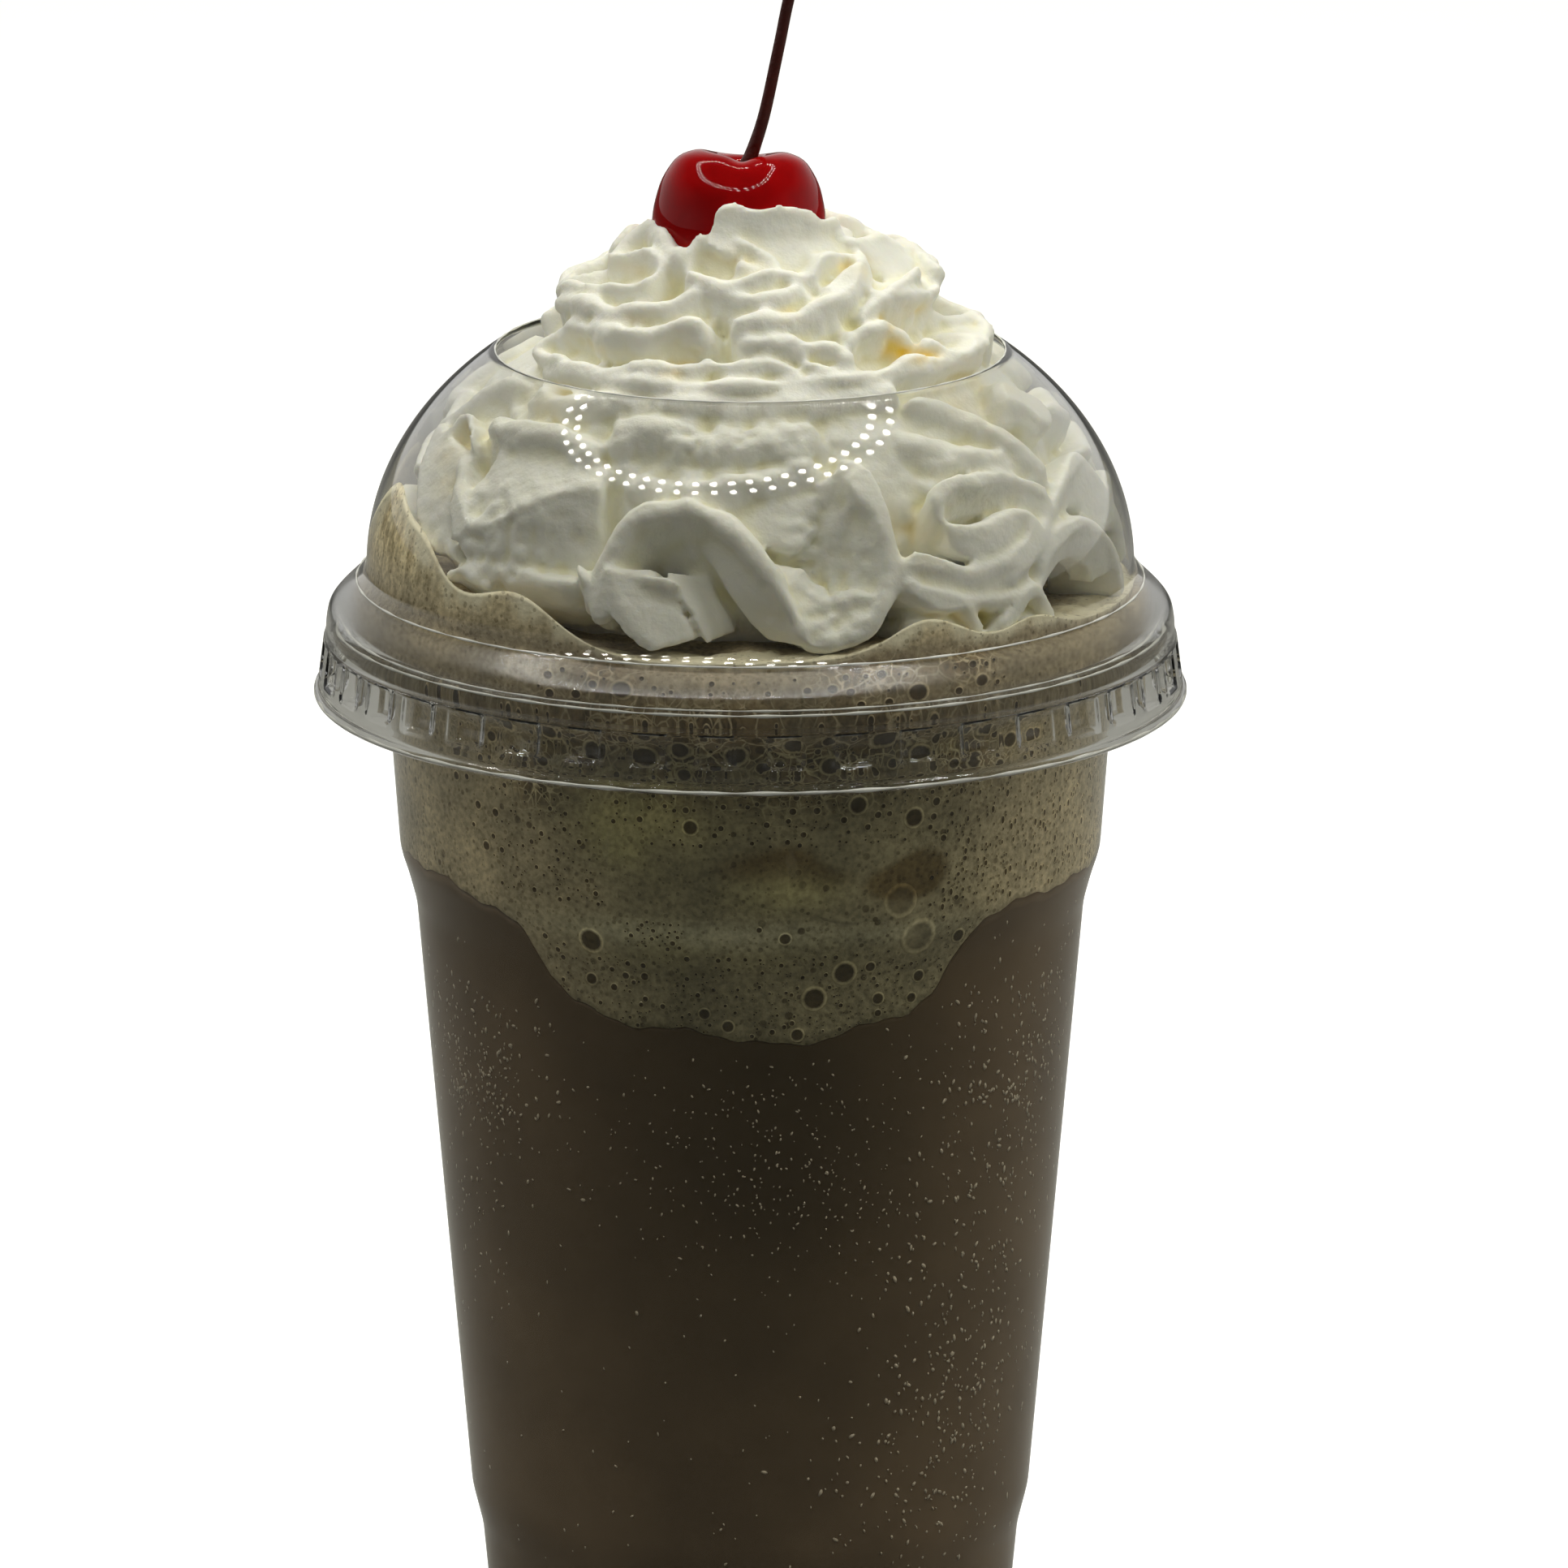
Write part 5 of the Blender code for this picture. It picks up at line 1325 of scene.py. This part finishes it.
# Faces of cream: thickness, then two edges of (azimuth, height, setback from the outside)
WEBS = (
    # underside of the arch
    (2.2,
     ((-22, 157.7, 0.6), (-22, 160.6, 0.6), (-20.5, 162.9, 0.6), (-17, 164.3, 0.6), (-12.5, 165, 0.6),
      (-8, 164.9, 0.6), (-4, 163.7, 0.6), (-1.5, 161.6, 0.6)),
     ((-17.5, 157.6, 6.5), (-17.5, 159.5, 6.5), (-16, 160.9, 6.5), (-14.5, 161.9, 6.5),
      (-11.5, 162.5, 6.5), (-9, 162.3, 6.5), (-7, 161.2, 6.5), (-5.5, 159.5, 6.5))),
    # limb of the arch
    (3.4,
     ((-3, 163.8, 0.5), (0.5, 160.8, 0.5), (3.5, 157.5, 0.5), (6.5, 154, 0.5), (9, 150.4, 0.5)),
     ((-8.5, 162.6, 4.6), (-5.5, 159.3, 4.6), (-3, 156.1, 4.6), (0, 152.6, 4.6), (3, 150.1, 4.6))),
    # left leg
    (3.4,
     ((-23, 158.8, -0.6), (-22, 155.6, -0.6), (-19.5, 152.1, -0.6), (-15, 149.6, -0.6)),
     ((-15.5, 159.2, 2.2), (-13.5, 156.6, 2.2), (-10.5, 153.7, 2.2), (-8.5, 150.7, 2.2))),
    # inside of the leg
    (3,
     ((-14, 159.1, 2), (-11, 156.2, 2), (-8.5, 152.8, 2), (-7, 150.2, 2)),
     ((-7.5, 159, 6.5), (-5.5, 155.9, 6.5), (-3.5, 153.1, 6.5), (-2.5, 150.8, 6.5))),
    # face of the lobe
    (3.2,
     ((18.5, 170.4, 0.2), (21, 167.5, 0.2), (22, 164.1, 0.3), (22, 159.7, 0.5), (20.5, 155.7, 1),
      (17.5, 152.7, 1.6)),
     ((12.5, 168.9, 3), (11.5, 164.5, 5), (11, 160.2, 7), (12, 156.6, 7.4), (12.5, 153.8, 6.4),
      (11.5, 152.2, 5))),
    # lit slope
    (4,
     ((0.5, 162, 4.2), (5, 160.4, 4.2), (9.5, 159.4, 4.2), (12.5, 157.5, 4.2)),
     ((6, 152, 0.8), (8.5, 151, 0.8), (11, 151.1, 0.8), (12.5, 152.4, 0.8))),
    # foot of the lobe
    (3,
     ((20.5, 155.7, 0.4), (17.5, 152.5, 0.4), (13, 150.8, 0.4), (9, 150.2, 0.4)),
     ((14, 157, 2.6), (13, 155.2, 2.6), (11, 153.7, 2.6), (9, 152.6, 2.6))),
    # underside of the block
    (4,
     ((-53, 159.6, 0.4), (-46, 162.2, 0.3), (-39, 164.9, 0.3), (-33, 166.8, 0.7), (-27.5, 167.6, 1.4)),
     ((-49, 155.6, 1.6), (-42, 156, 3), (-35, 156.4, 4.6), (-29, 157, 5.6), (-25.5, 158.6, 5.8))),
    # slope over the arch
    (4,
     ((-6, 168.4, 3.2), (1, 168.8, 3.2), (8, 169.6, 3.2), (13.5, 171, 3.6)),
     ((-2.5, 165.4, 3.6), (2, 163, 3.6), (7, 162.1, 3.6), (11.5, 164.5, 3.6))),
    # petal before the cherry
    (2.2,
     ((-21.5, 193, -0.8), (-20, 194.6, -0.8), (-15.5, 195.4, -0.7), (-8.5, 195.3, -0.3), (0.5, 195, 0),
      (12.5, 195, 0), (25, 195.1, 0), (34, 194.7, 0), (40, 193.7, 0), (48, 193.3, 0), (57, 193.2, 0.2)),
     ((-23, 191.2, -0.4), (-12, 190.6, 0.4), (-5, 190.8, 1.2), (2, 190.4, 1.6), (8, 190, 1.8),
      (14, 189.2, 2), (22, 188.4, 2), (30, 188.9, 1.8), (38, 189.4, 1.6), (46, 190, 1.4),
      (54, 190.6, 1.2))),
    # front bowl, rear face
    (2,
     ((-29, 190.4, 0.3), (-29, 191.9, 0.2), (-19.5, 192, 0.1), (-8.5, 191.9, 0.1), (2, 191.4, 0.2),
      (9.5, 190.6, 0.3), (13, 189.6, 0.5)),
     ((-27, 189.4, 2.2), (-24, 189.6, 2.8), (-17, 189.7, 3.2), (-8, 189.6, 3.2), (0, 189.4, 3),
      (7, 189.2, 2.4), (12, 189, 1.6))),
    # front bowl, floor
    (2,
     ((-27, 189.4, 2.2), (-24, 189.6, 2.8), (-17, 189.7, 3.2), (-8, 189.6, 3.2), (0, 189.4, 3),
      (7, 189.2, 2.4), (12, 189, 1.6)),
     ((-27.5, 188.8, 0.4), (-21, 188.1, 0), (-13.5, 187.8, -0.1), (-6, 187.9, -0.1), (3.5, 188.4, 0),
      (10.5, 188.8, 0.3), (13, 189.4, 0.6))),
    # left bowl, rear face
    (2,
     ((-99, 183.5, 0.4), (-93, 185, 0.3), (-84, 186.7, 0.2), (-75, 188.4, 0.1), (-62, 189.7, 0.1),
      (-54, 190.1, 0.1), (-44, 189.7, 0.3), (-40, 188.9, 0.4)),
     ((-94, 183.2, 1.6), (-88, 184.2, 2.4), (-80, 185.6, 3), (-70, 187, 3.4), (-60, 187.7, 3.4),
      (-52, 188, 3), (-46, 188.1, 2), (-42, 188, 1.2))),
    # left bowl, floor
    (2,
     ((-94, 183.2, 1.6), (-88, 184.2, 2.4), (-80, 185.6, 3), (-70, 187, 3.4), (-60, 187.7, 3.4),
      (-52, 188, 3), (-46, 188.1, 2), (-42, 188, 1.2)),
     ((-91, 182.7, 0.2), (-87, 184, 0), (-74, 185.1, -0.2), (-58, 185.7, -0.2), (-46, 186.6, -0.1),
      (-41, 187.8, 0), (-40, 188.7, 0.3))),
    # right lobe, face
    (2.4,
     ((56, 190.5, 0.1), (73, 190.5, 0), (97, 189, 0), (104, 187.4, 0), (100, 185.5, 0.2),
      (89, 184.3, 0.4)),
     ((58, 189.3, 1.5), (66, 188.6, 2.2), (78, 187.8, 2.4), (88, 187, 2), (90, 186.2, 1.8),
      (84, 185.4, 1.6))),
    # rosette, hollow
    (2.5,
     ((33, 163.3, 0.4), (33, 165.6, 0.3), (36.5, 166.8, 0.2), (43, 167, 0.2), (49, 166.6, 0.2),
      (53, 165.5, 0.2)),
     ((35, 162.8, 2.5), (36.5, 163.6, 3.5), (39, 163.9, 4.2), (43, 163.9, 4.2), (47, 163.5, 3.5),
      (50, 162.6, 2.5))),
    # rosette, band
    (3,
     ((33, 163, 0.1), (35.5, 162, 0), (40, 161.8, 0), (44, 162.4, 0), (49, 162.5, 0.2), (51, 161, 0.4)),
     ((33.5, 160.2, 1.1), (36, 159, 0.9), (40, 158.2, 0.8), (44, 158, 0.8), (48, 158.9, 0.9),
      (50.5, 160, 1))),
    # rosette, right side
    (3,
     ((53, 165.5, 0.2), (57, 163.3, 0.1), (57, 162.1, 0.1), (53, 159.8, 0.2), (49, 157.8, 0.3),
      (45, 156.3, 0.4)),
     ((50.5, 163, 1.6), (52.5, 161.8, 1.4), (52, 160.6, 1.2), (50, 159, 1.1), (47, 157.4, 1.1),
      (43.5, 156.2, 1))),
    # rosette, low ribbon
    (3,
     ((23.5, 158.2, 0.1), (26.5, 159.2, 0), (30, 158.4, 0), (36.5, 157.2, 0.2), (44, 157.2, 0.4),
      (48, 157.2, 0.4)),
     ((24.5, 155.9, 1.4), (28, 155.2, 1.3), (32, 154.8, 1.2), (36.5, 154.3, 1.1), (43, 153.9, 1.1),
      (48, 154.2, 1.1))),
    # petal 1, face
    (3,
     ((56, 160.7, 0.4), (62, 163.5, 0.1), (72, 165.4, 0), (77, 163.7, 0), (80, 160.3, 0),
      (80, 156.1, 0.2)),
     ((57, 159.2, 1.6), (61, 160.4, 1.8), (67, 161.2, 2), (70, 160.4, 2), (71.5, 158.4, 2),
      (72.5, 156.6, 2))),
    # petal 2, face
    (3,
     ((50, 154.5, 0.2), (53, 157.5, 0), (58, 159.1, 0), (65, 159.1, 0), (71, 156.7, 0), (75, 152.1, 0.2)),
     ((52, 152.8, 1.8), (55, 154.6, 2), (59, 155.6, 2.2), (63, 155.4, 2.2), (66, 153.8, 2),
      (69, 151.2, 2))),
    # face of the block
    (5,
     ((-55, 169.6, 2), (-47, 171.2, 2.2), (-40, 171.8, 2.4), (-33, 171.2, 2.6), (-28, 169.8, 2.8)),
     ((-54, 158.6, 0.4), (-46, 161.4, 0.2), (-39, 164.2, 0.2), (-32.5, 166.4, 0.6), (-27.5, 167.2, 1.3))),
    # sheet beside the block
    (3,
     ((-79, 169, 0.3), (-75, 165.5, 0.3), (-71, 163, 0.3), (-66, 160, 0.3), (-61, 157, 0.4)),
     ((-62, 168.2, 1), (-60, 165.5, 1), (-58, 162.5, 1), (-56, 159.5, 1.2), (-53, 156.5, 1.4))),
)

# Rough places of the cream: azimuth, height, half width in degrees and height, roughness
ROUGH = (
    (-45, 159, 14, 6, 0.55), (-8, 170.5, 26, 4.5, 0.6), (12, 158, 7, 8, 0.5), (-60, 171, 12, 4, 0.45),
    (42, 168, 14, 4, 0.35), (98, 187, 10, 3, 0.35), (-24, 152.5, 5, 3, 0.5), (36, 150.5, 16, 2, 0.4),
    (-30, 180.6, 40, 3, 0.28), (30, 182.5, 30, 3, 0.26), (64, 180, 20, 3, 0.3),
)

# Painted yellow light in hollows of the cream: azimuth, height, half width in degrees and height, strength
HOLLOW_LIGHT = (
    (46, 179.8, 4.2, 1.3, 2.2), (52, 179.2, 3.5, 1.3, 1.3), (44, 182, 2.5, 1.3, 0.7),
    (-62, 187.4, 14, 1, 0.3), (-10, 189.6, 14, 1.2, 0.28), (46, 188, 5, 1, 0.45),
    (60, 188, 6, 1.2, 0.4), (68, 182.8, 6, 1, 0.5), (12, 184.2, 3, 0.8, 0.4), (-37, 183.6, 4, 0.7, 0.4),
    (-48, 179.6, 10, 0.8, 0.3), (-20, 178.4, 3, 0.7, 0.45), (70, 175.4, 8, 2, 0.4),
    (56, 172.6, 8, 2.2, 0.3), (29, 161.2, 4, 2.6, 0.4), (-66, 166.6, 5, 1.8, 0.35),
    (36, 152.2, 4, 1.4, 0.3), (-62, 163.8, 4, 2, 0.3), (-52, 173.4, 8, 1.6, 0.3),
)


def mirrored(points):
    """The same way at the back, drawn together and lower in the crown."""
    return [(180.0 - BACK_DRAW * azimuth,
             height - BACK_SINK * max(0.0, height - BACK_SINK_FROM), *others)
            for azimuth, height, *others in points]


def cream_core(dough):
    """The lumpy core under the strands."""
    rings = []
    for order, (radius, height) in enumerate(CORE_OUTLINE):
        angles = 2 * np.pi * np.arange(CORE_SIDES) / CORE_SIDES
        wave = CORE_WAVE * np.sin(5 * angles + 1.7 * order) * np.cos(2 * angles - order)
        rings.append(list(polar(np.degrees(angles), radius + wave, height) / MM))
    dough.add(rings, np.array([0, 0, CORE_OUTLINE[0][1]]), np.array([0, 0, CORE_OUTLINE[-1][1]]))


def neighbours(data):
    """Pairs of joined points of a mesh, each both ways."""
    edges = np.empty(2 * len(data.edges), np.int64)
    data.edges.foreach_get("vertices", edges)
    edges = edges.reshape(-1, 2)
    return np.vstack([edges, edges[:, ::-1]])


def relaxed(points, pairs, rounds, share):
    """Points drawn towards the middle of their neighbours a few times."""
    count = np.bincount(pairs[:, 0], minlength=len(points))[:, None]
    for _ in range(rounds):
        middle = np.stack([np.bincount(pairs[:, 0], points[pairs[:, 1], axis], len(points))
                           for axis in range(3)], axis=1) / count
        points = points + share * (middle - points)
    return points


def fade(place, spots):
    """The strongest of some soft spots of (azimuth, height, half widths, strength)."""
    azimuth = azimuth_of(place)
    most = np.zeros(len(place))
    for centre, height, wide, tall, strength in spots:
        turn = turn_from(azimuth, centre)
        near = np.exp(-(turn / wide) ** 2 - ((place[:, 2] - height) / tall) ** 2)
        most = np.maximum(most, strength * near)
    return most


def cherry_room(points):
    """Press points out of the cherry's place, in millimetres."""
    centre = np.array(CHERRY_CENTRE)
    away = points - centre
    distance = np.linalg.norm(away * np.array([1.0, 1.0, 1.12]), axis=1)
    inside = distance < CHERRY_ROOM
    points[inside] = centre + away[inside] * (CHERRY_ROOM / distance[inside])[:, None]
    return points


def keep_largest(piece):
    """Keep only the largest closed part of a mesh."""
    mesh = bmesh.new()
    mesh.from_mesh(piece.data)
    left = set(mesh.verts)
    groups = []
    while left:
        open_points = [left.pop()]
        group = []
        while open_points:
            point = open_points.pop()
            group.append(point)
            for edge in point.link_edges:
                other = edge.other_vert(point)
                if other in left:
                    left.remove(other)
                    open_points.append(other)
        groups.append(group)
    largest = max(groups, key=len)
    spare = [point for group in groups if group is not largest for point in group]
    bmesh.ops.delete(mesh, geom=spare, context="VERTS")
    mesh.to_mesh(piece.data)
    mesh.free()


def cream_lumps():
    """All the lumps of the cream: its core, its strands and its webs, front and back."""
    dough = Dough()
    cream_core(dough)
    for order, (*build, points) in enumerate((*CROWN, *FOLDS)):
        strand(dough, *build, points, order)
        strand(dough, *build, mirrored(points), BACK_SEED + order)
    for order, (*build, points) in enumerate(SIDE_FOLDS):
        strand(dough, *build, points, SIDE_SEED + order)
    for thickness, first_edge, second_edge in WEBS:
        web(dough, thickness, first_edge, second_edge)
        web(dough, thickness, mirrored(first_edge), mirrored(second_edge))
    return dough


def fused(piece):
    """The mesh of a piece after its lumps are fused into one skin of small faces."""
    outward(piece)
    fuse = piece.modifiers.new("fuse", "REMESH")
    fuse.mode = "VOXEL"
    fuse.voxel_size = CREAM_GRAIN * MM
    evaluated = piece.evaluated_get(bpy.context.evaluated_depsgraph_get())
    data = bpy.data.meshes.new_from_object(evaluated)
    piece.modifiers.clear()
    piece.data = data
    keep_largest(piece)
    data.name = piece.name
    data.shade_smooth()
    return data


def make_cream(finish):
    """One body of cream with all its strands, rounded, roughened and held in the dome."""
    dough = cream_lumps()
    made = add_piece("piped_cream", np.array(dough.points) * MM, dough.faces, finish)
    data = fused(made)
    pairs = neighbours(data)
    points = relaxed(mesh_vectors(data, "co") / MM, pairs, *SOFTEN)
    normals = mesh_vectors(data, "normal")
    rough = fade(points, ROUGH)
    scaled = points * MM
    relief = (0.10 + 0.9 * rough) * smooth_noise(scaled, 2.4, 21)
    relief += (0.04 + 0.8 * rough) * smooth_noise(scaled, 1.2, 22)
    points += normals * relief[:, None]
    points = cherry_room(points)
    flat = np.hypot(points[:, 0], points[:, 1])
    in_dome = points[:, 2] < CROWN_FOOT + 0.6
    limit = np.where(in_dome, dome_inside(points[:, 2], CREAM_GAP), CREAM_IN_HOLE)
    limit = np.maximum(limit, CREAM_IN_HOLE)
    points[:, :2] *= np.minimum(1.0, limit / np.maximum(flat, 1.0))[:, None]
    data.vertices.foreach_set("co", (points * MM).reshape(-1))
    data.update()
    # How deep each point lies in a crease, for the painted shade there
    deep = np.einsum("ij,ij->i", relaxed(points, pairs, *CREASE_BLUR) - points, normals)
    vertex_values(made, "crease_shade", deep / CREASE_DEPTH)
    # Painted yellow light in the hollows listed above, more of it deeper in them
    vertex_values(made, "hollow_light", fade(points, HOLLOW_LIGHT) * limited(0.55 + deep / 0.8))
    return made


# The cherry


def cherry_place():
    """Where the cherry sits and how it is tipped."""
    move = Matrix.Translation(Vector(CHERRY_CENTRE) * MM)
    aside = Matrix.Rotation(math.radians(CHERRY_TILT[0]), 4, "Y")
    return np.array(move @ aside @ Matrix.Rotation(math.radians(CHERRY_TILT[1]), 4, "X"))


def on_cherry_axis(height):
    """A point on the cherry's own axis, in millimetres."""
    return (cherry_place() @ np.array([0.0, 0.0, height * MM, 1.0]))[:3] / MM


def make_cherry(finish):
    """The cherry: two soft shoulders round the dimple."""
    azimuths = around(CHERRY_SIDES)
    rings = []
    for radius, height in rounded(CHERRY_OUTLINE, 1.6, 4):
        shoulder = max(0.0, height) / 7.0
        lobes = 0.3 * shoulder * np.cos(np.radians(2.0 * azimuths + 180.0))
        lobes = lobes - 0.55 * shoulder * np.exp(-(turn_from(azimuths) / 16.0) ** 2)
        rings.append(polar(azimuths, radius + 0.25 * lobes, height + lobes))
    place = cherry_place()
    grid = np.stack(rings) @ place[:3, :3].T + place[:3, 3]
    ends = (on_cherry_axis(CHERRY_DIMPLE), on_cherry_axis(CHERRY_FOOT))
    return turned_piece("red_cherry", grid, finish, ends)


def make_stem(finish):
    """The stem, in a slow curve from the dimple up to its knob."""
    foot = on_cherry_axis(CHERRY_DIMPLE)
    azimuths = around(STEM_SIDES)
    rings = []
    for order, (aside, up, radius) in enumerate(smooth_way(STEM_WAY, 0.7)):
        wave = 1.0 + 0.04 * np.sin(np.radians(3.0 * azimuths) + 0.3 * order)
        ring = polar(azimuths, radius * wave, 0.0) / MM
        bow = 0.25 * math.sin(0.13 * up)
        rings.append((ring + foot + np.array([aside, bow, up])) * MM)
    first = np.mean(rings[0], axis=0) / MM
    last = np.mean(rings[-1], axis=0) / MM + np.array([0.0, 0.0, 0.25])
    return turned_piece("stem", np.stack(rings), finish, (first, last))


# Stage


def make_camera():
    """The camera that fits the photograph."""
    data = bpy.data.cameras.new("camera")
    data.sensor_width = SENSOR
    data.lens = SENSOR * LENS_PIXELS / PHOTO_SIDE
    data.shift_x = (0.5 * PHOTO_SIDE - AXIS_PIXEL) / PHOTO_SIDE
    data.clip_end = 20.0
    made = bpy.data.objects.new("camera", data)
    made.location = CAMERA_PLACE
    made.rotation_euler = (math.radians(90.0 - CAMERA_DIP), 0.0, 0.0)
    bpy.context.scene.collection.objects.link(made)
    bpy.context.scene.camera = made


def make_lamp(name, place, target, size, power):
    """A square softbox that points at a place."""
    data = bpy.data.lights.new(name, "AREA")
    data.size = size
    data.energy = power
    data.color = LAMP_COLOUR
    made = bpy.data.objects.new(name, data)
    made.location = place
    made.rotation_euler = (Vector(target) - Vector(place)).to_track_quat("-Z", "Y").to_euler()
    made.visible_glossy = False
    made.visible_transmission = False
    bpy.context.scene.collection.objects.link(made)


def on_circle(centre, radius, share):
    """A point on a level circle, at a share of its way round."""
    angle = 2 * math.pi * share
    return Vector(centre) + radius * Vector((math.cos(angle), math.sin(angle), 0.0))


def make_ring_lamp():
    """The ring lamp: soft lamps that light, and two rows of bright dots that only glint."""
    finish, _, shader = new_material("lamp dots")
    give(shader, {"Base Color": (0.0, 0.0, 0.0), "Emission Color": (1.0, 0.98, 0.92),
                  "Emission Strength": LAMP_STRENGTH})
    points = []
    for radius in LAMP_RADII:
        for dot in range(LAMP_DOTS):
            centre = on_circle(LAMP_CENTRE, radius, dot / LAMP_DOTS)
            points += [on_circle(centre, LAMP_DOT, corner / DOT_CORNERS)
                       for corner in range(DOT_CORNERS)]
    faces = [tuple(range(start, start + DOT_CORNERS))
             for start in range(0, len(points), DOT_CORNERS)]
    made = add_piece("ring_lamp", points, faces, finish)
    made.visible_camera = False
    made.visible_diffuse = False
    made.visible_shadow = False
    for lamp in range(SOFT_LAMPS):
        share = (lamp + 0.5) / SOFT_LAMPS
        power = SOFT_LAMP_POWER * (1.0 + SOFT_LAMP_SWAY * math.sin(2 * math.pi * share))
        make_lamp("soft_lamp", on_circle(LAMP_CENTRE, LAMP_RADII[0], share), LAMP_AIM,
                  SOFT_LAMP_SIZE, power)


def make_floor():
    """A pale floor that reads as part of the white background."""
    finish, tree, shader = new_material("pale floor")
    light = node(tree, "ShaderNodeLightPath")
    tone = mix_colour(tree, light.outputs["Is Glossy Ray"], (0.62, 0.62, 0.61), (0.34, 0.34, 0.335))
    tone = mix_colour(tree, light.outputs["Is Diffuse Ray"], tone, (0.20, 0.20, 0.19))
    give(shader, {"Base Color": tone, "Roughness": 0.9, "Emission Color": (0.75, 0.75, 0.75),
                  "Emission Strength": light.outputs["Is Camera Ray"]})
    corners = [(x * FLOOR_HALF, y * FLOOR_HALF, 0) for x, y in ((-1, -1), (1, -1), (1, 1), (-1, 1))]
    add_piece("floor", corners, [(0, 1, 2, 3)], finish)


def make_world():
    """An even surrounding light, paler in reflections from low down."""
    world = bpy.data.worlds.new("studio")
    world.use_nodes = True
    sky = world.node_tree
    light = node(sky, "ShaderNodeLightPath")
    place = node(sky, "ShaderNodeTexCoord")
    split = node(sky, "ShaderNodeSeparateXYZ", {0: place.outputs["Generated"]})
    rise = ramp(sky, split.outputs["Z"], 0.2, 0.6)
    behind = ramp(sky, split.outputs["Y"], -0.3, -0.9)
    level = mix_colour(sky, rise, (0.68, 0.68, 0.67), (0.10, 0.10, 0.10))
    level = mix_colour(sky, light.outputs["Is Transmission Ray"], level, (0.58, 0.58, 0.57))
    level = mix_colour(sky, behind, level, (0.12, 0.12, 0.12))
    level = mix_colour(sky, light.outputs["Is Diffuse Ray"], level, (0.13, 0.13, 0.12))
    give(sky.nodes["Background"], {"Color": level})
    bpy.context.scene.world = world
    bpy.context.scene.view_settings.view_transform = "Standard"


def tie(piece, cad_node):
    """Tie a piece to the frame."""
    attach(piece, "root")
    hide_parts(cad_node)


make_camera()
make_floor()
make_ring_lamp()
make_lamp("side_lamp", *SIDE_LAMP)
make_world()
LATHER = lather_group()
CUP_PLASTIC = clear_plastic("clear cup plastic", (0.97, 0.97, 0.96), 1.25)
LID_PLASTIC = clear_plastic("clear lid plastic", (0.95, 0.95, 0.94), 1.3)
# Whitish plastic that paints the highlight lines
PAINTED_EDGE_HIGHLIGHT = plain_material("painted edge highlight", (0.80, 0.80, 0.78), 0.2)
# Pale tan that paints the glint of the gas bubbles
SODA_GLINT = plain_material("soda bubbles", (0.52, 0.45, 0.34), 0.3, 0.3)
STEM_SKIN = plain_material("cherry stem", (0.060, 0.009, 0.006), 0.35, 0.25, 0.08)
tie(make_cup(CUP_PLASTIC), "cup")
tie(make_lid(LID_PLASTIC), "dome_lid")
for name, cad_node, radius, height, thickness in PAINTED_HIGHLIGHT_LINES:
    tie(make_highlight_line(name, radius, height, thickness, PAINTED_EDGE_HIGHLIGHT), cad_node)
tie(make_drink(drink_material()), "drink")
tie(make_foam(foam_material("foam", 0.08)), "foam_head")
tie(make_foam_bubbles(bubble_material()), "foam_head")
tie(make_soda_bubbles(SODA_GLINT), "drink")
tie(make_scoop(foam_material("vanilla ice cream")), "ice_cream_scoop")
tie(make_cream(cream_material()), "whipped_cream")
tie(make_cherry(cherry_material()), "cherry")
tie(make_stem(STEM_SKIN), "cherry_stem")
